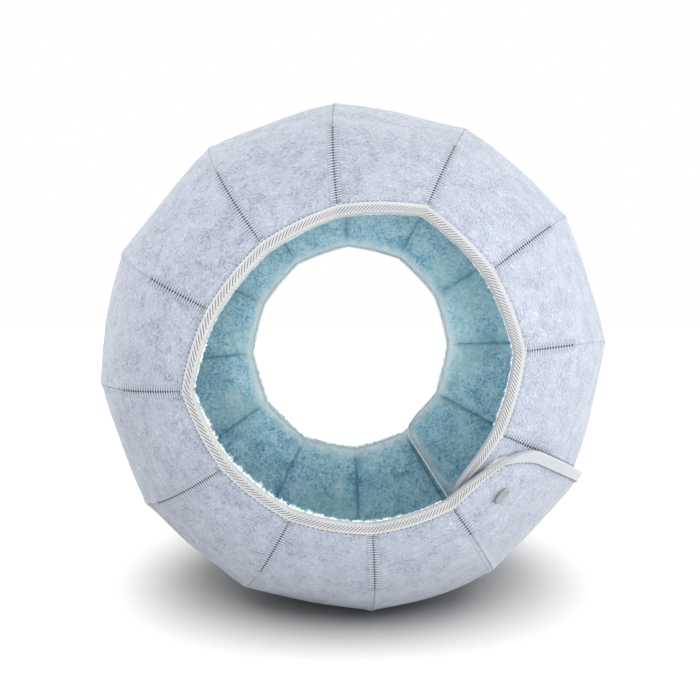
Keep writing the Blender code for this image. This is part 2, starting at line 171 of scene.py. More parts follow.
@dataclass(frozen=True)
class Ball:
    """The shape that every piece of the cave lies on."""

    corner_radius: float = 0.240  # from the axis out to a seam, at mid-depth
    half_depth: float = 0.216  # the seams' ellipse along Y
    floor_press: float = 0.007
    twist_front: float = -3.4  # how far the seams lean round at the openings
    twist_back: float = 0.65
    rim_at: float = 60.8
    panel_turn: float = 30.0
    rim_crown: float = 0.0039
    end_corner: float = 52.0
    end_corner_row: float = 0.13

    @property
    def centre_height(self) -> float:
        """Height of the ball's axis."""
        turn = math.radians(LINES[FLOOR_SEAM].bearing)
        return -self.corner_radius * math.cos(turn) - self.floor_press

    def rim_depth(self, panel: int, across: Array, side: Side) -> Array:
        """The depth at which a panel's edge lies.

        Args:
            panel: The panel's place along the strip.
            across: Shares from the panel's first line to its second.
            side: Which opening.

        Returns:
            The depths.
        """
        lines = (LINES[panel], LINES[panel + 1])
        radii = [line.front if side is Side.FRONT else line.back for line in lines]
        first, second = (
            side.value * math.degrees(math.acos(r / self.corner_radius)) for r in radii
        )
        return lerp(first, second, across)

    def line_points(self, index: int, depth: Array, offset: Array) -> Array:
        """Points of a line across the strip, offset outwards, about the centre.

        Args:
            index: Which line of the strip.
            depth: Depths of the points.
            offset: How far the points lie out from the felt's outer face.

        Returns:
            The points, one for each depth.
        """
        line, angle = LINES[index], np.radians(depth)
        radial, level = np.cos(angle), np.sin(angle)
        slope = np.stack([radial / self.corner_radius, level / self.half_depth])
        slope = unit(slope.T).T
        mitre = 1.0 / math.cos(math.radians(self.panel_turn / 2.0))
        stand_off = line.lift + offset
        radius = self.corner_radius * radial + stand_off * mitre * slope[0]
        along = self.half_depth * level + stand_off * slope[1]
        lean = np.abs(along) / (self.half_depth * math.sin(math.radians(self.rim_at)))
        lean = lean * np.where(along < 0.0, self.twist_front, self.twist_back)
        bearing = np.radians(line.bearing + lean)
        found = [radius * np.sin(bearing), along, radius * np.cos(bearing)]
        return np.stack(found, axis=-1)

    def free_points(
        self, panel: int, across: Array, depth: Array, offset: Array
    ) -> Array:
        """Points of a panel before the floor presses it, about the ball's centre.

        Args:
            panel: The panel's place along the strip.
            across: Shares from the panel's first line to its second.
            depth: Depths of the points.
            offset: How far the points lie out from the felt's outer face.

        Returns:
            The points, one for each place.
        """
        start = self.line_points(panel, depth, offset)
        end = self.line_points(panel + 1, depth, offset)
        middle, angle = (start + end) / 2.0, np.radians(depth)
        outwards = unit(middle * (1.0, 0.0, 1.0))
        outwards = outwards * (np.cos(angle) / self.corner_radius)[..., None]
        outwards[..., 1] = np.sin(angle) / self.half_depth
        outwards = unit(outwards)
        share = np.minimum(1.0, (depth / self.rim_at) ** 2)
        crown = lerp(LINES[panel].crown, self.rim_crown, share)
        rise = 4.0 * across * (1.0 - across) * crown
        return lerp(start, end, across[..., None]) + outwards * rise[..., None]

    def corner(self, panel: int, turn: Array, side: Side) -> Array:
        """Points of an end panel's corner: share out from its seam, and depth.

        Args:
            panel: An end panel.
            turn: How far round the corner: 0 at the opening, 90 at the free end.
            side: Which opening.

        Returns:
            Pairs of a share out from the seam and a depth.
        """
        shape = END_SHAPES[panel]
        angle = np.radians(turn)
        out = np.sin(angle) ** (2.0 / shape.power)
        along = np.maximum(0.0, np.cos(angle)) ** (2.0 / shape.power)
        across = 1.0 - out if panel == UNDERLAP else out
        depth = self.rim_depth(panel, across, side)
        depth = depth - side.value * shape.depth * (1.0 - along)
        return np.stack([out, depth], axis=-1)

    def free_end(self, panel: int, t: Array) -> Array:
        """Points of a free end, from its front corner to its back one.

        Args:
            panel: An end panel.
            t: Shares from the front opening.

        Returns:
            Pairs of a share out from the seam and a depth.
        """
        from_corner = np.minimum(t, 1.0 - t)
        share = np.minimum(1.0, from_corner / self.end_corner_row)
        turn = lerp(self.end_corner, 90.0, share)
        front = self.corner(panel, turn, Side.FRONT)
        back = self.corner(panel, turn, Side.BACK)
        along = (t - self.end_corner_row) / (1.0 - 2.0 * self.end_corner_row)
        along = np.clip(along, 0.0, 1.0)[..., None]
        square = np.full(t.shape, 90.0)
        front_corner = self.corner(panel, square, Side.FRONT)
        back_corner = self.corner(panel, square, Side.BACK)
        straight = lerp(front_corner, back_corner, along)
        rounded = np.where((t < 0.5)[..., None], front, back)
        at_corner = (from_corner <= self.end_corner_row)[..., None]
        return np.where(at_corner, rounded, straight)

    def spots(self, panel: int, s: Array, t: Array) -> tuple[Array, Array]:
        """Shares across and depths of a panel's points, from their places s and t.

        Args:
            panel: The panel's place along the strip.
            s: Shares from its first line, or from its seam on an end panel.
            t: Shares from the front opening.

        Returns:
            The shares across and the depths.
        """
        if panel not in END_SHAPES:
            front = self.rim_depth(panel, s, Side.FRONT)
            return s, lerp(front, self.rim_depth(panel, s, Side.BACK), t)
        share, row = s[..., None], t[..., None]

        def between(turn: Array) -> Array:
            """Points at t between the same places of the two corners."""
            front = self.corner(panel, turn, Side.FRONT)
            return lerp(front, self.corner(panel, turn, Side.BACK), row)

        seam = between(np.zeros(t.shape))
        across_blend = lerp(seam, self.free_end(panel, t), share)
        corner_blend = lerp(seam, between(np.full(t.shape, self.end_corner)), share)
        spot = across_blend + between(self.end_corner * s) - corner_blend
        out = spot[..., 0]
        return (1.0 - out if panel == UNDERLAP else out), spot[..., 1]

    def points(
        self, panel: int, s: Array, t: Array, offset: Array | float = 0.0
    ) -> Array:
        """Points of a panel in the world.

        Args:
            panel: The panel's place along the strip.
            s: Shares from its first line, or from its seam on an end panel.
            t: Shares from the front opening.
            offset: How far the points lie out from the felt's outer face.

        Returns:
            The points, one for each of the places.
        """
        s, t, offset = np.broadcast_arrays(
            np.asarray(s, float), np.asarray(t, float), np.asarray(offset, float)
        )
        across, depth = self.spots(panel, s, t)
        found = self.free_points(panel, across, depth, offset)
        plain = self.free_points(panel, across, depth, np.zeros(offset.shape))
        height = self.centre_height
        found[..., 2] += height + np.maximum(0.0, -(plain[..., 2] + height))
        return found

    def width(self, panel: int, t: Array) -> Array:
        """A panel's width from line to line at each t."""
        across = self.points(panel, 1.0, t) - self.points(panel, 0.0, t)
        return np.linalg.norm(across, axis=-1)

    def seam_length(self, panel: int) -> float:
        """Length of a panel's first line."""
        return path_length(self.points(panel, 0.0, np.linspace(0.0, 1.0, 60)))


BALL = Ball()


@dataclass(frozen=True)
class Cloth:
    """Thicknesses and gaps of the layers, and the part that the binding covers."""

    felt: float = 0.003
    felt_sunk: float = 0.001
    felt_edge: float = 0.0012
    gap: float = 0.0003
    fold_gap: float = 0.0004
    plush_puff: float = 0.0052
    plush_seam: float = 0.0022
    plush_border: float = 0.0012
    plush_edge: float = 0.0008
    tape: float = 0.0008
    tape_width: float = 0.0074
    flap_tape_width: float = 0.0128
    inner_leg: float = 0.0015  # of the tape, inside, before pile covers it

    def end_width(self, panel: int) -> float:
        """Width of the tape along an end panel's free end."""
        return self.flap_tape_width if panel == FLAP else self.tape_width


CLOTH = Cloth()


def finished(name: str, tool: BMesh, weld: bool, recalculate: bool = True) -> Piece:
    """Turns a built bmesh into a smooth piece that faces outwards.

    Args:
        name: The piece's name.
        tool: The mesh as built, which is freed.
        weld: Whether to join the points that lie on each other first.
        recalculate: Whether to turn the faces outwards.

    Returns:
        The piece, linked to the scene.
    """
    if weld:
        bmesh.ops.remove_doubles(tool, verts=tool.verts, dist=WELD)
    if recalculate:
        bmesh.ops.recalc_face_normals(tool, faces=tool.faces)
        if tool.calc_volume(signed=True) < 0.0:
            bmesh.ops.reverse_faces(tool, faces=tool.faces)
    mesh = bpy.data.meshes.new(name)
    tool.to_mesh(mesh)
    tool.free()
    mesh.shade_smooth()
    piece = bpy.data.objects.new(name, mesh)
    bpy.context.scene.collection.objects.link(piece)
    return piece


def grid_tool(columns: int, rows: int) -> BMesh:
    """A flat grid whose points lie at whole numbers, from 0 to columns and to rows.

    Args:
        columns: How many faces lie along X.
        rows: How many faces lie along Y.

    Returns:
        The grid.
    """
    tool = bmesh.new()
    bmesh.ops.create_grid(tool, x_segments=columns, y_segments=rows, size=0.5)
    bmesh.ops.translate(tool, vec=(0.5, 0.5, 0.0), verts=tool.verts)
    bmesh.ops.scale(tool, vec=(columns, rows, 1.0), verts=tool.verts)
    return tool


def grid_places(mesh: Mesh) -> Array:
    """The whole-number place of each vertex of a mesh made by grid_tool.

    Args:
        mesh: The mesh.

    Returns:
        The places.
    """
    found = np.empty(len(mesh.vertices) * 3)
    mesh.vertices.foreach_get("co", found)
    return np.round(found.reshape(-1, 3)).astype(int)


def corner_points(mesh: Mesh) -> Array:
    """The vertex at each corner of a mesh's faces.

    Args:
        mesh: The mesh.

    Returns:
        The vertex numbers.
    """
    found = np.empty(len(mesh.loops), np.int32)
    mesh.loops.foreach_get("vertex_index", found)
    return found


def set_points(mesh: Mesh, points: Array) -> None:
    """Moves a mesh's vertices to new points."""
    mesh.vertices.foreach_set("co", points.astype(np.float32).ravel())


def set_flat(mesh: Mesh, flat: Array) -> None:
    """Keeps each vertex's place on the flat cloth, in metres, as the UV map."""
    spread = flat[corner_points(mesh)].astype(np.float32).ravel()
    mesh.uv_layers.new(name="Cloth").data.foreach_set("uv", spread)


def set_mark(mesh: Mesh, name: str, values: Array) -> None:
    """Keeps a value for the material at each vertex."""
    made = mesh.attributes.new(name, "FLOAT", "POINT")
    made.data.foreach_set("value", values.astype(np.float32).ravel())


def repeated(one: Mesh, places: Array) -> BMesh:
    """Copies of one small mesh, laid side by side in a new one.

    Args:
        one: The mesh to repeat, whose faces all have as many corners; it is removed.
        places: Points of shape (copies, vertices, 3).

    Returns:
        The joined mesh.
    """
    corners = len(one.polygons[0].vertices)
    start = np.arange(len(places)) * len(one.vertices)
    faces = corner_points(one).reshape(-1, corners) + start[:, None, None]
    bpy.data.meshes.remove(one)
    many = bpy.data.meshes.new("many")
    many.from_pydata(places.reshape(-1, 3), [], faces.reshape(-1, corners).tolist())
    tool = bmesh.new()
    tool.from_mesh(many)
    bpy.data.meshes.remove(many)
    return tool


def joined_grids(name: str, places: Array) -> Piece:
    """Many copies of a small grid as one piece, each closed where its points meet.

    Args:
        name: The piece's name.
        places: Points of shape (copies, columns, rows, 3).

    Returns:
        The piece, linked to the scene.
    """
    tool = grid_tool(places.shape[1] - 1, places.shape[2] - 1)
    one = bpy.data.meshes.new("one")
    tool.to_mesh(one)
    tool.free()
    column, row, _ = grid_places(one).T
    return finished(name, repeated(one, places[:, column, row]), weld=True)


def joined_tufts(
    name: str,
    root: Array,
    tip: Array,
    upwards: Array,
    width: Array,
    marks: dict[str, Array] | None = None,
) -> Piece:
    """Many pointed tufts as one piece; with marks, they are shaded like their cloth.

    Args:
        name: The piece's name.
        root: Middles of the tufts' roots, of shape (tufts, 3).
        tip: Their tips, of the same shape.
        upwards: Unit vectors out of the cloth, of the same shape.
        width: How far a root's corners lie from its middle, of shape (tufts, 1).
        marks: Values for the material, of shape (tufts, 4): three at the root of
            each, then the one at its tip.

    Returns:
        The piece, linked to the scene.
    """
    tool = bmesh.new()
    bmesh.ops.create_cone(
        tool, cap_ends=True, segments=3, radius1=1.0, radius2=0.0, depth=1.0
    )
    one = bpy.data.meshes.new("one")
    tool.to_mesh(one)
    tool.free()
    spots = np.array([vertex.co for vertex in one.vertices])
    at_tip = (spots[:, 2] > 0.0)[:, None]
    direction = unit(tip - root)
    sideways = unit(np.cross(direction, upwards))
    across = np.cross(sideways, direction)
    ring = sideways[:, None] * spots[:, 0, None] + across[:, None] * spots[:, 1, None]
    places = np.where(at_tip, tip[:, None], root[:, None] + ring * width[:, None])
    piece = finished(name, repeated(one, places), weld=False)
    if marks is None:
        piece.data.shade_flat()
        return piece
    shown = unit(upwards[:, None] + np.where(at_tip, 0.9, -0.25) * direction[:, None])
    piece.data.normals_split_custom_set_from_vertices(shown.reshape(-1, 3).tolist())
    order = np.where(at_tip[:, 0], 3, np.minimum(np.cumsum(~at_tip[:, 0]) - 1, 2))
    for mark, values in marks.items():
        set_mark(piece.data, mark, values[:, order])
    return piece


def with_sides(centres: Array, upwards: Array) -> tuple[Array, Array, Array]:
    """Centre lines with unit vectors across each, level with the cloth and out.

    Args:
        centres: The lines.
        upwards: Vectors outwards.

    Returns:
        The lines, the vectors sideways and the vectors outwards.
    """
    upwards = unit(upwards)
    sideways = np.cross(np.gradient(centres, axis=1), upwards)
    return centres, unit(sideways), upwards


def tube_places(
    centres: Array, sideways: Array, upwards: Array, radius: Array, sides: int
) -> Array:
    """Points of thin closed tubes round their centre lines.

    Args:
        centres: Centre lines, of shape (tubes, stations, 3).
        sideways: Unit vectors across each line, of the same shape.
        upwards: Unit vectors across both, of the same shape.
        radius: The tubes' radius at each station, 0 at both ends.
        sides: How many sides a tube has.

    Returns:
        Points of shape (tubes, stations, sides + 1, 3).
    """
    turn = np.arange(sides + 1) % sides * math.tau / sides
    ring = (
        sideways[:, :, None] * np.cos(turn)[:, None]
        + upwards[:, :, None] * np.sin(turn)[:, None]
    )
    return centres[:, :, None] + ring * radius[..., None, None]


def path_length(path: Array) -> float:
    """Length of a run of points."""
    return float(np.linalg.norm(np.diff(path, axis=0), axis=-1).sum())


def steps(
    near: tuple[float, ...], far: tuple[float, ...], middle: int, length: Array
) -> Array:
    """Shares along lines: close together near both ends, even in between.

    Args:
        near: Distances from the start, from 0 up.
        far: Distances from the end, from 0 up.
        middle: How many steps lie in between.
        length: The lines' lengths.

    Returns:
        Shares of shape (lines, steps).
    """
    start = np.array(near)[None] / length[:, None]
    end = 1.0 - np.array(far)[::-1][None] / length[:, None]
    share = np.linspace(0.0, 1.0, middle + 2)[1:-1][None]
    return np.concatenate([start, lerp(start[:, -1:], end[:, :1], share), end], axis=1)


def waves(places: Array, wavelength: float, seed: int) -> Array:
    """Smooth, uneven swells through space, about 1 high.

    Args:
        places: Points of shape (..., 3).
        wavelength: The usual length of a swell.
        seed: Which pattern of swells.

    Returns:
        A height for each point.
    """
    draw = np.random.default_rng(seed)
    total = np.zeros(places.shape[:-1])
    count = 7
    for _ in range(count):
        direction = draw.normal(size=3)
        length = wavelength * draw.uniform(0.7, 1.5)
        direction *= math.tau / (length * np.linalg.norm(direction))
        total += np.sin(places @ direction + draw.uniform(0.0, math.tau))
    return total / math.sqrt(count / 2.0)


@dataclass
class ClothGrid:
    """The fine grid of one panel, with each point's way to its seams and edges."""

    panel: int
    columns: int
    rows: int
    seam_near: tuple[float, ...] = (
        0.0, 0.0005, 0.0010, 0.0016, 0.0024, 0.0036, 0.0044, 0.006
    )
    edge_near: tuple[float, ...] = (
        0.0, 0.0035, 0.0062, 0.0070, 0.0078, 0.0088, 0.0107, 0.0145
    )
    s: Array = field(init=False)
    t: Array = field(init=False)
    plain: Array = field(init=False)
    depth: Array = field(init=False)
    from_first: Array = field(init=False)
    from_second: Array = field(init=False)
    from_front: Array = field(init=False)
    from_back: Array = field(init=False)

    def __post_init__(self) -> None:
        """Lays the grid out and measures it."""
        ends = self.panel in END_SHAPES
        length = np.array([BALL.seam_length(self.panel)])
        seam_t = steps(self.edge_near, self.edge_near, self.rows, length)[0]
        share = steps(
            self.seam_near,
            self.edge_near if ends else self.seam_near,
            self.columns,
            BALL.width(self.panel, seam_t),
        )
        self.s, self.t = share.T, np.broadcast_to(seam_t, share.T.shape)
        self.plain = BALL.points(self.panel, self.s, self.t)
        self.depth = BALL.spots(self.panel, self.s, self.t)[1]
        across = np.linalg.norm(np.diff(self.plain, axis=0), axis=-1)
        along = np.linalg.norm(np.diff(self.plain, axis=1), axis=-1)
        self.from_first = np.pad(np.cumsum(across, axis=0), ((1, 0), (0, 0)))
        self.from_second = self.from_first[-1:] - self.from_first
        self.from_front = np.pad(np.cumsum(along, axis=1), ((0, 0), (1, 0)))
        self.from_back = self.from_front[:, -1:] - self.from_front

    @property
    def to_edge(self) -> Array:
        """Distance to the strip's own edge, which the binding covers.

        Returns:
            The distances.
        """
        found = np.minimum(self.from_front, self.from_back)
        if self.panel not in END_SHAPES:
            return found
        narrowed = CLOTH.tape_width / CLOTH.end_width(self.panel)
        return np.minimum(found, self.from_second * narrowed)

    @property
    def to_seam(self) -> Array:
        """Distance to the nearest sewn seam.

        Returns:
            The distances.
        """
        if self.panel in END_SHAPES:
            return self.from_first
        return np.minimum(self.from_first, self.from_second)

    @property
    def laddered(self) -> Array:
        """1 where the nearest seam is ladder stitched, 0 where it is plain.

        Returns:
            The shares.
        """
        first, second = LINES[self.panel].ladder, LINES[self.panel + 1].ladder
        if self.panel == UNDERLAP:
            stop = np.full(self.s.shape, second)
        elif self.panel == FLAP:
            stop = np.full(self.s.shape, first)
        else:
            stop = np.where(self.from_first < self.from_second, first, second)
        return np.clip((np.abs(self.depth) - stop) / 1.5 + 0.5, 0.0, 1.0)

    @property
    def flat(self) -> tuple[float, float, float]:
        """The cut's width, length and area.

        Returns:
            The three, in metres.
        """
        wide = float(self.from_first[-1].max())
        long = float(self.from_front[:, -1].max())
        low, right = self.plain[:-1, :-1], self.plain[1:, :-1]
        up, far = self.plain[:-1, 1:], self.plain[1:, 1:]
        halves = (np.cross(right - low, up - low), np.cross(right - far, up - far))
        area = sum(np.linalg.norm(half, axis=-1).sum() / 2.0 for half in halves)
        return wide, long, float(area)

    def laid(self, offset: Array) -> Array:
        """The grid's points, offset outwards and kept off the floor.

        Args:
            offset: How far outwards.

        Returns:
            The points.
        """
        found = BALL.points(self.panel, self.s, self.t, offset)
        found[..., 2] = np.maximum(found[..., 2], 0.0)
        return found

    def sheet(
        self, name: str, outer: Array, inner: Array, marks: dict[str, Array]
    ) -> Piece:
        """A closed sheet between two offset faces.

        Args:
            name: The piece's name.
            outer: Offsets of its outer face.
            inner: Offsets of its inner face.
            marks: Values for the material, one for each grid point, by attribute name.

        Returns:
            The piece, with its flat places in metres as its UV map.
        """
        columns, rows = self.s.shape[0] - 1, self.s.shape[1] - 1
        tool = grid_tool(columns, rows)
        extruded = bmesh.ops.extrude_face_region(tool, geom=tool.faces[:])["geom"]
        backs = [item for item in extruded if isinstance(item, bmesh.types.BMVert)]
        bmesh.ops.translate(tool, vec=(0.0, 0.0, 1.0), verts=backs)
        piece = finished(name, tool, weld=False)
        mesh = piece.data
        column, row, layer = grid_places(mesh).T
        both = np.stack([self.laid(outer), self.laid(inner)])
        set_points(mesh, both[layer, column, row])
        flat = np.stack([self.from_first, self.from_front], axis=-1)
        set_flat(mesh, flat[column, row])
        for mark, values in marks.items():
            set_mark(mesh, mark, values[column, row])
        tool = bmesh.new()
        tool.from_mesh(mesh)
        if tool.calc_volume(signed=True) < 0.0:
            bmesh.ops.reverse_faces(tool, faces=tool.faces)
        tool.to_mesh(mesh)
        tool.free()
        mesh.update()
        return piece


class Graph:
    """Adds nodes to a node tree and joins them."""

    def __init__(self, tree: NodeTree) -> None:
        """Keeps the tree."""
        self.tree = tree

    def add(self, kind: str, **settings: object) -> Node:
        """Adds a node and sets its properties.

        Args:
            kind: The node's type.
            settings: Its properties, by name.

        Returns:
            The node.
        """
        node = self.tree.nodes.new(kind)
        for name, value in settings.items():
            setattr(node, name, value)
        return node

    def put(self, node: Node, name: str | int, value: object) -> None:
        """Sets a socket to a value, or joins another socket to it.

        Args:
            node: The node.
            name: The socket's name or number.
            value: What it takes.
        """
        if isinstance(value, Socket):
            self.tree.links.new(value, node.inputs[name])
        else:
            node.inputs[name].default_value = value

    def math(
        self, operation: str, first: object, second: object = 0.0, third: object = 0.0
    ) -> Socket:
        """A maths node's result.

        Args:
            operation: Which operation.
            first: Its first value.
            second: Its second value.
            third: Its third value.

        Returns:
            The result's socket.
        """
        node = self.add("ShaderNodeMath", operation=operation)
        for index, value in enumerate((first, second, third)):
            self.put(node, index, value)
        return node.outputs[0]

    def times(self, first: object, second: object) -> Socket:
        """The product of two values."""
        return self.math("MULTIPLY", first, second)

    def scaled(self, value: object, by: object, plus: object) -> Socket:
        """A value times a factor, plus another value."""
        return self.math("MULTIPLY_ADD", value, by, plus)

    def less(self, first: object, second: object) -> Socket:
        """The first value less the second."""
        return self.math("SUBTRACT", first, second)

    def remap(
        self,
        value: object,
        low: float,
        high: float,
        to_low: float = 0.0,
        to_high: float = 1.0,
    ) -> Socket:
        """A value stretched smoothly from one span to another, kept within it.

        Args:
            value: What to stretch.
            low: The start of its span.
            high: The end of its span.
            to_low: What the start becomes.
            to_high: What the end becomes.

        Returns:
            The result's socket.
        """
        node = self.add("ShaderNodeMapRange", interpolation_type="SMOOTHSTEP")
        for name, given in zip(
            ("Value", "From Min", "From Max", "To Min", "To Max"),
            (value, low, high, to_low, to_high),
        ):
            self.put(node, name, given)
        return node.outputs[0]

    def mix(
        self, share: object, first: object, second: object, blend: str = "MIX"
    ) -> Socket:
        """Two colours mixed.

        Args:
            share: How much of the second colour shows.
            first: The first colour.
            second: The second colour.
            blend: How the two are mixed.

        Returns:
            The result's socket.
        """
        node = self.add("ShaderNodeMix", data_type="RGBA", blend_type=blend)
        self.put(node, 0, share)
        for index, value in ((6, first), (7, second)):
            self.put(node, index, (*value, 1.0) if isinstance(value, tuple) else value)
        return node.outputs[2]

    def noise(
        self,
        vector: object,
        scale: float,
        detail: float = 2.0,
        roughness: float = 0.5,
        distortion: float = 0.0,
    ) -> Socket:
        """A noise texture's value.

        Args:
            vector: Where it is read.
            scale: Its fineness.
            detail: How many finer layers it has.
            roughness: How strong they are.
            distortion: How far it is warped.

        Returns:
            The result's socket.
        """
        node = self.add("ShaderNodeTexNoise")
        for name, given in zip(
            ("Vector", "Scale", "Detail", "Roughness", "Distortion"),
            (vector, scale, detail, roughness, distortion),
        ):
            self.put(node, name, given)
        return node.outputs[0]

    def coordinates(self, which: str = "Object") -> Socket:
        """The piece's own coordinates."""
        return self.add("ShaderNodeTexCoord").outputs[which]

    def mark(self, name: str) -> Socket:
        """A value that the mesh holds for each point."""
        return self.add("ShaderNodeAttribute", attribute_name=name).outputs["Fac"]

    def relief(
        self,
        height: object,
        distance: float,
        strength: float = 1.0,
        normal: object = None,
    ) -> Socket:
        """A normal bent by a height, in metres of relief.

        Args:
            height: The height.
            distance: What a height of 1 stands for.
            strength: How far the normal follows it.
            normal: Another relief to bend further.

        Returns:
            The normal's socket.
        """
        node = self.add("ShaderNodeBump")
        self.put(node, "Strength", strength)
        self.put(node, "Distance", distance)
        self.put(node, "Height", height)
        if normal is not None:
            self.put(node, "Normal", normal)
        return node.outputs[0]


def group_node(graph: Graph, group: NodeTree, **values: object) -> Node:
    """Places a node group in a tree and sets its inputs.

    Args:
        graph: The tree's graph.
        group: The group to place.
        values: Its inputs, by name.

    Returns:
        The placed node.
    """
    node = graph.add("ShaderNodeGroup", node_tree=group)
    for name, value in values.items():
        graph.put(node, name, value)
    return node


def fibre_group() -> NodeTree:
    """The group that lays short, tangled fibres: masks of three sizes and a relief.

    Returns:
        The group.
    """
    tree = bpy.data.node_groups.new("Tangled_Fibres", "ShaderNodeTree")
    face = tree.interface
    face.new_socket("Vector", in_out="INPUT", socket_type="NodeSocketVector")
    face.new_socket("Fibre_Scale", in_out="INPUT", socket_type="NodeSocketFloat")
    for name in ("Fine", "Curls", "Clouds", "Relief"):
        face.new_socket(name, in_out="OUTPUT", socket_type="NodeSocketFloat")
    graph = Graph(tree)
    given = graph.add("NodeGroupInput")
    vector, scale = given.outputs["Vector"], given.outputs["Fibre_Scale"]
    fine = graph.noise(vector, scale, 2.0, 0.6, 0.8)
    curls = graph.noise(vector, graph.times(scale, 0.42), 3.0, 0.62, 1.8)
    clouds = graph.noise(vector, graph.times(scale, 0.11), 3.0, 0.6, 0.5)
    result = graph.add("NodeGroupOutput")
    for name, value in (("Fine", fine), ("Curls", curls), ("Clouds", clouds)):
        graph.put(result, name, value)
    graph.put(result, "Relief", graph.math("ADD", fine, curls))
    return tree


def blank_material(name: str) -> tuple[Material, Graph, Node]:
    """A new material, its graph and its Principled shader.

    Args:
        name: Its name.

    Returns:
        The three.
    """
    made = bpy.data.materials.new(name)
    made.use_nodes = True
    return made, Graph(made.node_tree), made.node_tree.nodes["Principled BSDF"]


@dataclass(frozen=True)
class FeltFinish:
    """Needle felt: pale blue-grey fibres with darker and whiter ones tangled in."""

    base: tuple[float, float, float] = (0.330, 0.370, 0.453)
    dark: tuple[float, float, float] = (0.120, 0.142, 0.205)
    pale: tuple[float, float, float] = (0.500, 0.525, 0.575)
    seam: tuple[float, float, float] = (0.150, 0.165, 0.210)
    fibre_scale: float = 620.0
    roughness: float = 0.95
    sheen: float = 0.35
    sheen_roughness: float = 0.5
    painted_shade_span: float = 0.18  # from the ball's middle to where the dark fibres thin out; the change across is painted shade
    painted_shade_left: float = 1.35  # share of dark fibres on the left, raised as painted shade
    painted_shade_right: float = 0.85  # share of dark fibres on the right, lowered as less painted shade

    def material(self, fibres: NodeTree) -> Material:
        """Builds the material from the shared fibre group.

        Args:
            fibres: The shared fibre group.

        Returns:
            The material.
        """
        made, graph, shader = blank_material("Heather_Felt")
        place = graph.coordinates()
        found = group_node(graph, fibres, Vector=place, Fibre_Scale=self.fibre_scale)
        fine, curls = found.outputs["Fine"], found.outputs["Curls"]
        fibre = graph.scaled(curls, 0.6, graph.times(fine, 0.4))
        clouds = graph.remap(found.outputs["Clouds"], 0.38, 0.62, 0.15, 1.0)
        split = graph.add("ShaderNodeSeparateXYZ")
        graph.put(split, 0, place)
        # Painted shade: the dark fibres grow denser from right to left, where the light
        # grazes the felt.
        sides = (-self.painted_shade_span, self.painted_shade_span, self.painted_shade_left, self.painted_shade_right)
        share = graph.remap(split.outputs[0], *sides)
        darker = graph.times(graph.remap(fibre, 0.52, 0.40), clouds)
        darker = graph.times(darker, share)
        whiter = graph.times(graph.remap(fibre, 0.52, 0.62), graph.less(1.25, clouds))
        shaded = graph.scaled(darker, 0.6, graph.times(clouds, 0.1))
        colour = graph.mix(shaded, self.base, self.dark)
        colour = graph.mix(graph.times(whiter, 0.75), colour, self.pale)
        # Painted shade between the ladder stitches beside a seam.
        colour = graph.mix(graph.times(graph.mark("ladder"), 0.6), colour, self.dark)
        colour = graph.mix(graph.mark("seam"), colour, self.seam)
        graph.put(shader, "Base Color", colour)
        shader.inputs["Roughness"].default_value = self.roughness
        shader.inputs["Sheen Weight"].default_value = self.sheen
        shader.inputs["Sheen Roughness"].default_value = self.sheen_roughness
        graph.put(shader, "Normal", graph.relief(found.outputs["Relief"], 0.0017, 0.85))
        return made


@dataclass(frozen=True)
class PlushFinish:
    """Short plush: teal pile, streaked where it is brushed and pale at its edges,
    partly paler pile and partly painted light.
    """

    deep: tuple[float, float, float] = (0.215, 0.500, 0.645)
    base: tuple[float, float, float] = (0.545, 0.820, 0.940)
    light: tuple[float, float, float] = (0.790, 0.955, 0.995)
    green: tuple[float, float, float] = (0.590, 0.850, 0.830)
    pale_and_lit_edge: tuple[float, float, float] = (0.910, 0.985, 0.998)
    # painted shade in the creases along the seams
    painted_crease_shade: tuple[float, float, float] = (0.130, 0.340, 0.430)
    streak_scale: float = 330.0
    fibre_scale: float = 300.0
    green_share: float = 0.45  # at most, in broad patches
    roughness: float = 0.9
    sheen: float = 0.25
    sheen_roughness: float = 0.45

    def material(self, fibres: NodeTree) -> Material:
        """Builds the material from the shared fibre group.

        Args:
            fibres: The shared fibre group.

        Returns:
            The material.
        """
        made, graph, shader = blank_material("Teal_Plush")
        place = graph.coordinates()
        found = group_node(graph, fibres, Vector=place, Fibre_Scale=self.fibre_scale)
        brushed = graph.remap(graph.noise(place, 24.0, 2.0, 0.5, 1.2), 0.36, 0.64)
        stretched = graph.add("ShaderNodeMapping")
        graph.put(stretched, "Vector", place)
        graph.put(stretched, "Scale", (1.0, 0.3, 1.0))
        hairs = graph.noise(stretched.outputs[0], self.streak_scale, 3.0, 0.6, 0.9)
        streaks = graph.remap(hairs, 0.34, 0.66)
        tufts = graph.remap(found.outputs["Curls"], 0.34, 0.66)
        lumps = graph.remap(found.outputs["Clouds"], 0.34, 0.66)
        lit = graph.scaled(streaks, 0.6, graph.scaled(tufts, 0.4, -0.25))
        lit = graph.scaled(lumps, 0.18, lit)
        lit = graph.scaled(brushed, 0.16, lit)
        lit = graph.scaled(graph.mark("tip"), 0.26, lit)
        lit = graph.scaled(graph.mark("tone"), 0.4, lit)
        colour = graph.mix(graph.remap(lit, -0.1, 0.6), self.deep, self.base)
        colour = graph.mix(graph.remap(lit, 0.38, 0.95), colour, self.light)
        patches = graph.noise(place, 15.0, 1.0, 0.5, 0.6)
        greener = graph.remap(patches, 0.48, 0.66, 0.0, self.green_share)
        colour = graph.mix(greener, colour, self.green)
        # Painted shade darkens the creases along the seams.
        colour = graph.mix(graph.times(graph.mark("seam"), 0.8), colour, self.painted_crease_shade)
        # Along the openings the pile is paler: partly its own thin, pale pile and
        # partly painted light shining through it.
        colour = graph.mix(graph.times(graph.mark("edge"), 0.9), colour, self.pale_and_lit_edge)
        graph.put(shader, "Base Color", colour)
        shader.inputs["Roughness"].default_value = self.roughness
        shader.inputs["Sheen Weight"].default_value = self.sheen
        shader.inputs["Sheen Roughness"].default_value = self.sheen_roughness
        fine = graph.relief(found.outputs["Relief"], 0.0012, 0.6)
        graph.put(
            shader, "Normal", graph.relief(found.outputs["Clouds"], 0.004, 0.6, fine)
        )
        return made


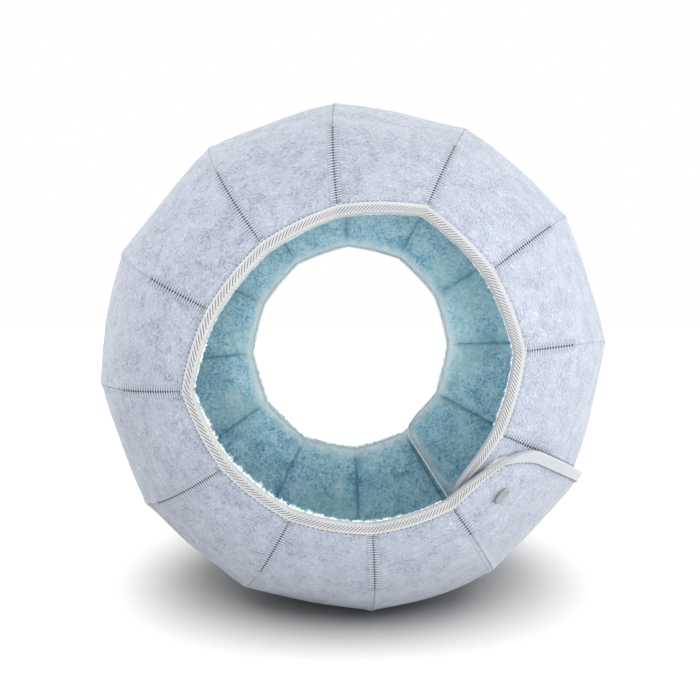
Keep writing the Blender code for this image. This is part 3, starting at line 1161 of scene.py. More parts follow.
@dataclass(frozen=True)
class TwillFinish:
    """Herringbone tape: slanting ribs that meet along the fold."""

    base: tuple[float, float, float] = (0.425, 0.432, 0.440)
    # painted shade in the grooves between the ribs
    groove_shade: tuple[float, float, float] = (0.100, 0.103, 0.112)
    worn: tuple[float, float, float] = (0.520, 0.525, 0.525)
    # painted shade on the tape round the right
    greyed: tuple[float, float, float] = (0.310, 0.322, 0.340)
    plain: tuple[float, float, float] = (0.330, 0.355, 0.395)  # on the flap's end
    covered_and_lit: tuple[float, float, float] = (0.780, 0.830, 0.830)  # by pile, inside, and painted lighter for light through that pile
    fibre_scale: float = 1400.0
    roughness: float = 0.75
    sheen: float = 0.2
    rib_pitch: float = 0.0030
    rib_slant: float = 1.18  # how far a rib runs along the tape for its way across
    fold_at: float = 0.0072  # from the outer border, across the tape

    def material(self, fibres: NodeTree) -> Material:
        """Builds the material; the UV map runs in metres along the tape and across.

        Args:
            fibres: The shared fibre group.

        Returns:
            The material.
        """
        made, graph, shader = blank_material("Twill_Tape")
        parts = graph.add("ShaderNodeSeparateXYZ")
        graph.put(parts, 0, graph.coordinates("UV"))
        along, across = parts.outputs[0], parts.outputs[1]
        from_fold = graph.math("ABSOLUTE", graph.less(across, self.fold_at))
        slanted = graph.scaled(from_fold, self.rib_slant, along)
        wave = graph.math("SINE", graph.times(slanted, math.tau / self.rib_pitch))
        ribs = graph.remap(wave, -0.95, 0.15)
        place = graph.coordinates()
        found = group_node(graph, fibres, Vector=place, Fibre_Scale=self.fibre_scale)
        woven = graph.remap(found.outputs["Fine"], 0.35, 0.65)
        over_fold = (self.fold_at - 0.0012, self.fold_at + 0.0006)
        ribbed = graph.remap(across, 0.0016, 0.0034)
        ribbed = graph.times(ribbed, graph.remap(across, *over_fold, 1.0, 0.35))
        plain = graph.remap(graph.mark("plain"), 0.1, 0.9)
        ribbed = graph.times(ribbed, graph.scaled(plain, -0.85, 1.0))
        ribs = graph.scaled(graph.less(ribs, 1.0), ribbed, 1.0)
        colour = graph.mix(graph.times(woven, 0.35), self.base, self.worn)
        # Painted shade darkens the tape round the right.
        colour = graph.mix(graph.times(graph.mark("greyed"), 0.6), colour, self.greyed)
        # Painted shade darkens the rib grooves.
        groove_shade_share = graph.times(graph.less(1.0, ribs), 0.92)
        colour = graph.mix(groove_shade_share, colour, self.groove_shade)
        colour = graph.mix(graph.times(plain, 0.85), colour, self.plain)
        # The inner leg takes the pale colour of the pile over it, with painted light.
        inside = graph.remap(graph.mark("inside"), 0.3, 0.7)
        colour = graph.mix(inside, colour, self.covered_and_lit)
        graph.put(shader, "Base Color", colour)
        shader.inputs["Roughness"].default_value = self.roughness
        shader.inputs["Sheen Weight"].default_value = self.sheen
        height = graph.scaled(woven, 0.15, ribs)
        graph.put(shader, "Normal", graph.relief(height, 0.00045, 0.9))
        return made


@dataclass(frozen=True)
class PlainFinish:
    """A small part's finish: one colour with a fine unevenness."""

    name: str
    base: tuple[float, float, float]
    shade: tuple[float, float, float]
    roughness: float
    scale: float  # of its unevenness
    depth: float  # of its relief, in metres
    roughness_swings: tuple[float, float] = (-0.06, 0.06)

    def material(self, fibres: NodeTree) -> Material:
        """Builds the material from the shared fibre group.

        Args:
            fibres: The shared fibre group.

        Returns:
            The material.
        """
        made, graph, shader = blank_material(self.name)
        place = graph.coordinates()
        found = group_node(graph, fibres, Vector=place, Fibre_Scale=self.scale)
        colour = graph.mix(found.outputs["Curls"], self.shade, self.base)
        graph.put(shader, "Base Color", colour)
        least, most = (self.roughness + swing for swing in self.roughness_swings)
        rough = graph.remap(found.outputs["Clouds"], 0.3, 0.7, least, most)
        graph.put(shader, "Roughness", rough)
        graph.put(
            shader, "Normal", graph.relief(found.outputs["Relief"], self.depth, 0.5)
        )
        return made


SEAM_THREAD = PlainFinish(
    name="Seam_Thread",
    base=(0.55, 0.58, 0.64),
    shade=(0.43, 0.46, 0.53),
    roughness=0.7,
    scale=1800.0,
    depth=0.0001,
)
# Painted shade: near-black beads stand in for the shadow inside the seams' needle
# holes.
SEAM_HOLE_SHADE = PlainFinish(
    name="Seam_Needle_Holes",
    base=(0.030, 0.033, 0.045),
    shade=(0.018, 0.020, 0.028),
    roughness=0.9,
    scale=1800.0,
    depth=0.0001,
)
# Dark thread, partly painted shade of the groove that the outer stitches sit in at the
# tape's border.
TAPE_THREAD_AND_SHADE = PlainFinish(
    name="Tape_Thread",
    base=(0.13, 0.135, 0.155),
    shade=(0.08, 0.085, 0.10),
    roughness=0.7,
    scale=1800.0,
    depth=0.0001,
)
SNAP_PLASTIC = PlainFinish(
    name="Snap_Plastic",
    base=(0.225, 0.24, 0.265),
    shade=(0.190, 0.205, 0.23),
    roughness=0.42,
    scale=300.0,
    depth=0.00005,
)
PILE_TIPS = PlainFinish(
    name="Pile_Tips",
    base=(0.86, 0.89, 0.88),
    shade=(0.62, 0.76, 0.77),
    roughness=0.8,
    scale=160.0,
    depth=0.0001,
)


def dress(piece: Piece, finish: Material, slot: str, *nodes: str) -> None:
    """Gives a piece its material and its body, and hides the CAD nodes that it
    replaces.

    Args:
        piece: The piece to dress.
        finish: Its material.
        slot: The material slot that it belongs to; not used.
        nodes: The CAD nodes that it replaces, if any.
    """
    piece.data.materials.clear()
    piece.data.materials.append(finish)
    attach(piece, "root")
    if nodes:
        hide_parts(*nodes)
    LOG.info("%s: %d faces", piece.name, len(piece.data.polygons))


def seam_relief(distance: Array, laddered: Array) -> Array:
    """How far the felt rises beside a seam: drawn in by the ladder, else ridged.

    Args:
        distance: How far off the seam.
        laddered: 1 where it is ladder stitched, 0 where it is plain.

    Returns:
        The rise.
    """
    drawn = -0.0004 * bump(distance, 0.0035) - 0.0005 * bump(distance, 0.0009)
    ridged = 0.0005 * bump(distance - 0.0016, 0.0013) - 0.0003 * bump(distance, 0.0007)
    return lerp(ridged, drawn, laddered)


@dataclass
class FeltPanels:
    """The thirteen outer panels of felt."""

    columns: int = 16
    rows: int = 80
    swell: float = 0.0006
    swell_length: float = 0.075
    end_calm: float = 0.2  # share of the swell that the end panels have
    seam_calm: float = 0.012  # width beside seams and edges that stays flat
    ladder_shade_reach: float = 0.0058  # how far beside a seam painted shade darkens the felt between the ladder stitches
    plain_seam_shade: float = 0.12

    def offsets(self, grid: ClothGrid) -> tuple[Array, Array]:
        """Outer and inner offsets: drawn down at seams and under the binding.

        Args:
            grid: The panel's grid.

        Returns:
            The offsets of the outer face and of the inner one.
        """
        tucked = np.maximum(0.0, 1.0 - grid.to_edge / CLOTH.tape_width)
        calm = self.end_calm if grid.panel in END_SHAPES else 1.0
        inset = np.minimum(grid.to_seam, grid.to_edge - 0.006)
        free = 1.0 - bump(inset, self.seam_calm)
        relief = calm * self.swell * waves(grid.plain, self.swell_length, seed=3) * free
        relief += seam_relief(grid.to_seam, grid.laddered)
        relief -= 0.0004 * bump(grid.to_edge - 0.0080, 0.0009)
        relief += 0.0005 * bump(grid.to_edge - 0.0117, 0.0025)
        relief = np.where(tucked > 0.0, 0.0, relief)
        outer = relief - CLOTH.felt_sunk * tucked
        inner = -lerp(CLOTH.felt, CLOTH.felt_sunk + CLOTH.felt_edge, tucked)
        return outer, inner

    def build(self, finish: Material) -> None:
        """Builds and dresses each panel.

        Args:
            finish: The felt's material.
        """
        for panel in range(PANELS):
            grid = ClothGrid(panel, self.columns, self.rows)
            outer, inner = self.offsets(grid)
            # Painted shade of the felt between the ladder stitches, kept as the ladder
            # mark.
            beside = np.clip((self.ladder_shade_reach - grid.to_seam) / 0.0028, 0.0, 1.0)
            shade = lerp(self.plain_seam_shade, 0.0, grid.laddered)
            seam = bump(grid.to_seam, 0.0008) * shade
            marks = {"seam": seam, "ladder": beside * grid.laddered}
            node = node_name(Layer.FELT, panel)
            piece = grid.sheet(f"Cloth_{node}", outer, inner, marks)
            dress(piece, finish, "heather_felt", node)


@dataclass
class PlushPile:
    """The pile of the plush: short pointed tufts that lie as they were brushed."""

    tufts: int = 7200  # on each panel
    length: tuple[float, float] = (0.0025, 0.0046)
    width: float = 0.00080
    rooted: float = 0.0004  # how deep the tufts start in the plush
    seed: int = 17

    def build(
        self,
        grid: ClothGrid,
        inner: Array,
        marks: dict[str, Array],
        finish: Material,
    ) -> None:
        """Plants the tufts of one panel on the plush's inner face.

        Args:
            grid: The panel's grid.
            inner: Offsets of the plush's inner face.
            marks: Values for the material, one for each grid point, by attribute name.
            finish: The plush's material.
        """
        draw = np.random.default_rng(self.seed + grid.panel)
        face = grid.laid(inner)
        first, second = np.gradient(face, axis=0), np.gradient(face, axis=1)
        low = face[:-1, :-1]
        area = np.cross(face[1:, :-1] - low, face[:-1, 1:] - low)
        area = np.linalg.norm(area, axis=-1)
        area = np.where(grid.to_edge[:-1, :-1] > CLOTH.inner_leg, area, 0.0)
        cell = draw.choice(area.size, self.tufts, p=area.ravel() / area.sum())
        column, row = np.divmod(cell, area.shape[1])
        across, along = draw.uniform(0.0, 1.0, (2, self.tufts))

        def at(values: Array) -> Array:
            """The values at the tufts' places, between the grid's points.

            Args:
                values: One at each point.

            Returns:
                One at each tuft.
            """
            shape = (-1,) + (1,) * (values.ndim - 2)
            a, b = across.reshape(shape), along.reshape(shape)
            near = lerp(values[column, row], values[column + 1, row], a)
            far = lerp(values[column, row + 1], values[column + 1, row + 1], a)
            return lerp(near, far, b)

        root, level, forth = at(face), unit(at(first)), unit(at(second))
        up = unit(np.cross(level, forth))
        outside = at(grid.plain) - root
        up = np.where((up * outside).sum(axis=-1, keepdims=True) > 0.0, -up, up)
        turn = 1.6 * waves(root, 0.06, seed=61) + 0.8 * waves(root, 0.012, seed=67)
        turn = turn + draw.normal(0.0, 0.45, self.tufts)
        lie = level * np.sin(turn)[:, None] + forth * np.cos(turn)[:, None]
        stand = 0.55 + 0.22 * waves(root, 0.011, seed=71)
        stand = stand + draw.normal(0.0, 0.16, self.tufts)
        direction = unit(lie + up * np.clip(stand, 0.15, 1.3)[:, None])
        pressed = np.clip(at(grid.to_seam) / 0.004, 0.45, 1.0)
        length = (draw.uniform(*self.length, self.tufts) * pressed)[:, None]
        width = self.width * draw.uniform(0.7, 1.4, (self.tufts, 1))
        rooted = root - up * self.rooted
        tone = draw.normal(0.1, 0.75, self.tufts) + at(marks["tone"])
        plain = {"seam": at(marks["seam"]), "edge": at(marks["edge"]), "tone": tone}
        held = {mark: np.repeat(plain[mark][:, None], 4, axis=1) for mark in plain}
        held["tip"] = np.tile([0.0, 0.0, 0.1, 1.0], (self.tufts, 1))
        name = node_name(Layer.LINING, grid.panel).replace("lining", "Plush_Pile")
        tip = rooted + direction * length
        piece = joined_tufts(name, rooted, tip, up, width, held)
        dress(piece, finish, "teal_plush")


@dataclass
class PlushPanels:
    """The thirteen panels of plush that line the felt."""

    columns: int = 20
    rows: int = 88
    edge_near: tuple[float, ...] = (
        0.0, 0.0008, 0.0014, 0.0020, 0.0028, 0.0040, 0.0060, 0.0100
    )
    wrinkle: float = 0.0024
    pull_pitch: float = 0.023  # between the creases that cross a seam
    tuft: float = 0.0005
    seam_slope: float = 0.008  # width over which the plush rises from a seam
    lit_edge_width: float = 0.0075  # width of the pale pile along the openings, paler pile with painted light
    pile: PlushPile = field(default_factory=PlushPile)

    def offsets(self, grid: ClothGrid) -> tuple[Array, Array]:
        """Outer and inner offsets: puffed, creased at seams, pressed at the edges.

        Args:
            grid: The panel's grid.

        Returns:
            The offsets of the outer face and of the inner one.
        """
        tucked = np.maximum(0.0, 1.0 - grid.to_edge / CLOTH.tape_width)
        outer = -lerp(CLOTH.felt, CLOTH.felt_sunk + CLOTH.felt_edge, tucked) - CLOTH.gap
        free_of_tape = np.maximum(0.0, grid.to_edge - CLOTH.inner_leg)
        inset = np.minimum(grid.to_seam, 2.2 * free_of_tape)
        free = 1.0 - bump(inset, self.seam_slope)
        thick = lerp(CLOTH.plush_seam, CLOTH.plush_puff, free)
        near_seam = bump(grid.to_seam - 0.010, 0.014)
        shift = 2.5 * waves(grid.plain, 0.05, seed=11)
        pulls = np.sin(math.tau * grid.from_front / self.pull_pitch + shift)
        thick = thick + self.wrinkle * pulls * near_seam * free
        thick = thick + self.wrinkle * waves(grid.plain, 0.05, seed=23) * free
        thick = thick + self.tuft * waves(grid.plain, 0.009, seed=31) * free
        thick = np.maximum(thick, CLOTH.plush_seam)
        thick = thick * (1.0 - 0.45 * bump(grid.to_seam, 0.0016))
        under_tape = np.minimum(1.0, grid.to_edge / CLOTH.inner_leg)
        pressed = lerp(CLOTH.plush_edge, CLOTH.plush_border, under_tape)
        rising = np.minimum(1.0, free_of_tape / 0.0020)
        return outer, outer - lerp(pressed, np.maximum(thick, pressed), rising)

    def build(self, finish: Material) -> None:
        """Builds and dresses each panel.

        Args:
            finish: The plush's material.
        """
        for panel in range(PANELS):
            grid = ClothGrid(panel, self.columns, self.rows, edge_near=self.edge_near)
            outer, inner = self.offsets(grid)
            uneven = 0.5 + 0.25 * waves(grid.plain, 0.02, seed=47)
            reach = np.maximum(0.0, grid.to_edge - 0.003)
            wander = grid.to_seam + 0.0005 * waves(grid.plain, 0.006, seed=53)
            # Painted shade along the seams' creases: a narrow line and a wider, uneven
            # band.
            seam = 0.7 * bump(wander, 0.0015)
            seam = seam + 0.35 * bump(wander, 0.0062) * (0.4 + uneven)
            edge = np.clip(bump(reach, self.lit_edge_width) * (0.75 + uneven), 0.0, 1.0)
            tone = 0.16 * waves(grid.plain, 0.018, seed=73)
            tone = tone + 0.16 * waves(grid.plain, 0.045, seed=79)
            marks = {"seam": seam, "edge": edge, "tone": tone}
            marks["tip"] = np.zeros(seam.shape)
            node = node_name(Layer.LINING, panel)
            piece = grid.sheet(f"Cloth_{node}", outer, inner, marks)
            dress(piece, finish, "teal_plush", node)
            self.pile.build(grid, inner, marks, finish)


class Zone(Enum):
    """A stretch of the binding."""

    OPENING = 0
    END_OPENING = 1
    FLAP_END = 2
    UNDERLAP_END = 3


@dataclass
class BindingRoute:
    """The way of the binding round the strip's whole edge, as fine steps."""

    step: float = 0.002
    probe: float = 0.002
    right: float = 60.0  # bearing round which the tape is rolled over and darkened by painted shade
    right_width: float = 75.0
    edge: Array = field(init=False)
    border: Array = field(init=False)
    edge_normal: Array = field(init=False)
    border_normal: Array = field(init=False)
    zone: Array = field(init=False)

    def __post_init__(self) -> None:
        """Follows the front opening, the flap, the back opening and the underlap."""
        full = range(UNDERLAP + 1, FLAP)
        parts = [self.opening(panel, Side.FRONT) for panel in full]
        parts += self.end_parts(FLAP, False)
        parts += [self.opening(panel, Side.BACK, True) for panel in reversed(full)]
        parts += self.end_parts(UNDERLAP, True)
        joined = [np.concatenate(kind) for kind in zip(*parts)]
        self.edge, self.border, self.edge_normal, self.border_normal, self.zone = joined

    def measured(
        self,
        panel: int,
        zone: Zone,
        edge: tuple[Array, Array],
        border: tuple[Array, Array],
    ) -> tuple[Array, ...]:
        """The edge, the border, the cloth's normals at both, and the zone.

        Args:
            panel: The panel that the steps lie on.
            zone: The stretch of the binding that they belong to.
            edge: Places s and t of the steps on the strip's edge.
            border: Places s and t beside them, at the tape's outer border.

        Returns:
            One array for each, without the last step, which the next stretch starts.
        """
        found = [BALL.points(panel, s, t) for s, t in (edge, border)]
        raised = [BALL.points(panel, s, t, self.probe) for s, t in (edge, border)]
        found += [(high - low) / self.probe for high, low in zip(raised, list(found))]
        found.append(np.full(len(found[0]), zone.value))
        return tuple(item[:-1] for item in found)

    def count(self, panel: int, s: Array, t: Array) -> int:
        """How many steps fit along a path on a panel."""
        return max(3, round(path_length(BALL.points(panel, s, t)) / self.step))

    def border_share(self, panel: int) -> float:
        """Share t of the border beside the front opening."""
        return CLOTH.tape_width / BALL.seam_length(panel)

    def insets(self, panel: int, t: Array) -> Array:
        """Shares s of an end panel's border beside its free end."""
        return 1.0 - CLOTH.end_width(panel) / BALL.width(panel, t)

    def opening(
        self, panel: int, side: Side, backwards: bool = False
    ) -> tuple[Array, ...]:
        """The steps along one opening of a panel.

        Args:
            panel: The panel's place along the strip.
            side: Which opening.
            backwards: Whether the binding runs from the second line to the first.

        Returns:
            The arrays that measured gives.
        """
        at = 0.0 if side is Side.FRONT else 1.0
        coarse = np.linspace(0.0, 1.0, 40)
        steps_here = self.count(panel, coarse, np.full(coarse.shape, at))
        s = np.linspace(0.0, 1.0, steps_here + 1)
        if backwards:
            s = s[::-1]
        border_t = np.full(s.shape, abs(at - self.border_share(panel)))
        ends = panel in END_SHAPES
        border_s = np.minimum(s, self.insets(panel, border_t)) if ends else s
        zone = Zone.END_OPENING if ends else Zone.OPENING
        return self.measured(
            panel, zone, (s, np.full(s.shape, at)), (border_s, border_t)
        )

    def end_parts(self, panel: int, backwards: bool) -> list[tuple[Array, ...]]:
        """The steps round an end panel, from its seam and back to it.

        Args:
            panel: An end panel.
            backwards: Whether it comes in along the back opening.

        Returns:
            The arrays of measured for its three stretches.
        """
        coarse = np.linspace(0.0, 1.0, 80)
        t = np.linspace(0.0, 1.0, self.count(panel, np.ones(coarse.shape), coarse) + 1)
        if backwards:
            t = t[::-1]
        inset = self.border_share(panel)
        border_t = np.clip(t, inset, 1.0 - inset)
        zone = Zone.FLAP_END if panel == FLAP else Zone.UNDERLAP_END
        border = (self.insets(panel, border_t), border_t)
        end = self.measured(panel, zone, (np.ones(t.shape), t), border)
        front = self.opening(panel, Side.FRONT, backwards)
        back = self.opening(panel, Side.BACK, not backwards)
        return [back, end, front] if backwards else [front, end, back]

    def share_of(self, zone: Zone, blend: int = 9) -> Array:
        """1 along one zone and 0 elsewhere, blended over some steps.

        Args:
            zone: The zone.
            blend: Over how many steps it fades on each side.

        Returns:
            A share for each step.
        """
        inside = (self.zone == zone.value).astype(float)
        reach = np.concatenate([inside[-blend:], inside, inside[:blend]])
        window = 2 * blend + 1
        return np.convolve(reach, np.ones(window) / window, "valid")

    @property
    def along(self) -> Array:
        """Distance run along the edge at each step, with the whole length last.

        Returns:
            The distances.
        """
        closed = np.concatenate([self.edge, self.edge[:1]])
        strides = np.linalg.norm(np.diff(closed, axis=0), axis=-1)
        return np.pad(np.cumsum(strides), (1, 0))

    @property
    def bearing(self) -> Array:
        """Degrees clockwise from the top at each step, from -180 to 180."""
        height = self.edge[:, 2] - BALL.centre_height
        return np.degrees(np.arctan2(self.edge[:, 0], height))

    def near(self, bearing: float, width: float) -> Array:
        """1 at the steps at a bearing, falling away over a width in degrees."""
        return bump((self.bearing - bearing + 180.0) % 360.0 - 180.0, width)

    @property
    def eased(self) -> Array:
        """Flat tape used up to each step: stretched on the left, eased elsewhere."""
        stretch = 0.9 + 0.6 * self.near(-95.0, 45.0)
        return np.pad(np.cumsum(np.diff(self.along) / stretch), (1, 0))

    @property
    def rolled(self) -> Array:
        """How far the tape is rolled over the edge at each step: most on the right."""
        return 0.0016 * self.near(self.right, self.right_width)

    def place(
        self,
        from_edge: float,
        offset: float,
        beyond: float = 0.0,
        at: Array | None = None,
    ) -> Array:
        """Points beside the edge.

        Args:
            from_edge: Share of the way from the edge to the border.
            offset: How far out from the felt's outer face.
            beyond: How far past the edge, in the cloth's own plane.
            at: Steps to take, possibly between two; all of them if None.

        Returns:
            The points.
        """
        arrays = (self.edge, self.border, self.edge_normal, self.border_normal)
        if at is not None:
            low = np.floor(at).astype(int)
            share = (at - low)[:, None]
            low, high = low % len(self.edge), (low + 1) % len(self.edge)
            arrays = tuple(lerp(item[low], item[high], share) for item in arrays)
        edge, border, edge_normal, border_normal = arrays
        outwards = unit(edge - border)
        normal = lerp(edge_normal, border_normal, from_edge)
        return lerp(edge, border, from_edge) + normal * offset + outwards * beyond


@dataclass
class Binding:
    """The folded tape round the strip's edge, and the stitches that hold it."""

    route: BindingRoute
    outer_rows: int = 7  # of the section, from its outer border to the fold
    crest_steps: int = 8
    crest_bulge: float = 0.0008
    crest_width: float = 0.0065  # of flat tape, round the fold
    stitch_pitch: float = 0.0034
    stitch_length: float = 0.0032
    stitch_radius: float = 0.00042
    stitch_arch: tuple[float, ...] = (-0.4, 0.3, 0.5, 0.3, -0.4)  # in radii
    stitch_taper: tuple[float, ...] = (0.0, 0.9, 1.0, 0.9, 0.0)
    stitch_sunk: float = 1.1  # radii that the stitches sink where the tape is rolled
    outer_row: float = 0.985  # share of the way from the edge to the border
    inner_row: float = 0.85  # share of the inner leg

    def inner_border(self) -> float:
        """Offset of the inner leg's border, on the plush.

        Returns:
            The offset.
        """
        share = CLOTH.inner_leg / CLOTH.tape_width
        felt = lerp(CLOTH.felt_sunk + CLOTH.felt_edge, CLOTH.felt, share)
        return -felt - CLOTH.gap - CLOTH.plush_border - CLOTH.fold_gap

    def section(self) -> list[tuple[float, float, float]]:
        """The tape's outline: shares from the edge, offsets, and reaches past the edge.

        It runs over the outer face from its border to the fold, round the fold, along
        the inner leg, and back between the tape and the cloth.

        Returns:
            The outline's points in order.
        """
        gap, tape = CLOTH.gap, CLOTH.tape
        outer_edge = gap - CLOTH.felt_sunk + tape
        back = CLOTH.felt_sunk + CLOTH.felt_edge + gap + CLOTH.plush_edge
        back += CLOTH.fold_gap
        inner_edge = -back - tape
        leg = CLOTH.inner_leg / CLOTH.tape_width
        inner_border = self.inner_border()
        found = [(1.0, gap + 0.1 * tape, 0.0), (0.985, gap + 0.75 * tape, 0.0)]
        for share in (0.93, 0.8, 0.6, 0.4, 0.2):
            found.append((share, lerp(outer_edge, gap + tape, share), 0.0))
        middle, half = (outer_edge + inner_edge) / 2.0, (outer_edge - inner_edge) / 2.0
        for step in range(self.crest_steps + 1):
            angle = math.radians(90.0 - 180.0 * step / self.crest_steps)
            reach = gap + tape * 0.3 + self.crest_bulge * math.cos(angle)
            found.append((0.0, middle + half * math.sin(angle), reach))
        for share in (0.3, 0.6, 0.9):
            offset = lerp(inner_edge, inner_border - tape, share)
            found.append((share * leg, offset, 0.0))
        found.append((0.97 * leg, inner_border - 0.75 * tape, 0.0))
        found.append((leg, inner_border - 0.1 * tape, 0.0))
        found.append((0.5 * leg, (inner_border - back) / 2.0, 0.0))
        found.append((0.0, -back, gap * 0.5))
        found.append((0.0, gap - CLOTH.felt_sunk, gap * 0.5))
        found.append((0.5, gap - CLOTH.felt_sunk / 2.0, 0.0))
        return found

    def tape(self) -> Piece:
        """The tape as one closed ring, with its flat places in metres as its UV map.

        Returns:
            The piece, linked to the scene.
        """
        outline, route = self.section(), self.route
        ring = [route.place(*spot) for spot in [*outline, outline[0]]]
        ring = np.stack(ring, axis=1)
        ring = np.concatenate([ring, ring[:1]])
        tool = grid_tool(ring.shape[0] - 1, ring.shape[1] - 1)
        mesh = bpy.data.meshes.new("flat")
        tool.to_mesh(mesh)
        tool.free()
        column, row, _ = grid_places(mesh).T
        reach = np.linalg.norm(np.diff(ring, axis=1), axis=-1).mean(axis=0)
        across = np.pad(np.cumsum(reach), (1, 0))
        rolled = np.append(route.rolled, route.rolled[0])
        flat = np.stack([route.eased[column], across[row] - rolled[column]], axis=-1)
        set_flat(mesh, flat)
        fold_end = self.outer_rows + self.crest_steps - 1
        on_right = route.near(route.right, route.right_width)
        marks = {
            "plain": np.append(route.share_of(Zone.FLAP_END), 0.0)[column],
            # the inner leg: the pile's colour over it, with painted light
            "inside": (row > fold_end) & (row < len(outline) - 2),
            # painted shade on the right
            "greyed": np.append(on_right, 0.0)[column],
        }
        for mark, values in marks.items():
            set_mark(mesh, mark, values)
        set_points(mesh, ring[column, row])
        tool = bmesh.new()
        tool.from_mesh(mesh)
        bpy.data.meshes.remove(mesh)
        return finished("Binding_Twill", tool, weld=True)

    def stitches(self, name: str, from_edge: float, offset: float) -> Piece:
        """A row of short stitches along the tape.

        Args:
            name: The piece's name.
            from_edge: Share of the way from the edge to the border.
            offset: How far out from the felt's outer face.

        Returns:
            The piece, linked to the scene.
        """
        route, stations = self.route, len(self.stitch_arch)
        total = route.along[-1]
        count = round(total / self.stitch_pitch)
        middles = np.arange(count) * total / count
        shifts = np.linspace(-0.5, 0.5, stations) * self.stitch_length
        reach = (middles[:, None] + shifts) % total
        at = np.interp(reach.ravel(), route.along, np.arange(len(route.along)))
        low = route.place(from_edge, offset, at=at).reshape(count, stations, 3)
        high = route.place(from_edge, offset + PROBE, at=at).reshape(count, stations, 3)
        middle = np.floor(at.reshape(count, stations)[:, stations // 2]).astype(int)
        sunk = route.near(route.right, 60.0)[middle % len(route.edge)][:, None]
        arch = np.array(self.stitch_arch) - self.stitch_sunk * sunk
        arch = (arch * self.stitch_radius)[..., None]
        centres = low + (high - low) / PROBE * arch
        radius = np.array(self.stitch_taper) * self.stitch_radius
        radius = np.broadcast_to(radius, (count, stations))
        lines = with_sides(centres, high - low)
        return joined_grids(name, tube_places(*lines, radius, sides=4))

    def build(self, twill: Material, thread: Material, pale: Material) -> None:
        """Args:
            twill: The tape's material.
            thread: The outer stitches' material: dark thread, darkened further as
                painted shade of the groove at the tape's border.
            pale: The inner stitches' material.
        """
        tape = self.tape()
        dress(tape, twill, "twill_tape", "binding_tape")
        on_felt = CLOTH.gap + CLOTH.tape * 0.7
        outer = self.stitches("Binding_Stitches_Outer", self.outer_row, on_felt)
        inner_row = self.inner_row * CLOTH.inner_leg / CLOTH.tape_width
        on_plush = self.inner_border() - CLOTH.tape
        inner = self.stitches("Binding_Stitches_Inner", inner_row, on_plush)
        dress(outer, thread, "twill_tape")
        dress(inner, pale, "twill_tape")


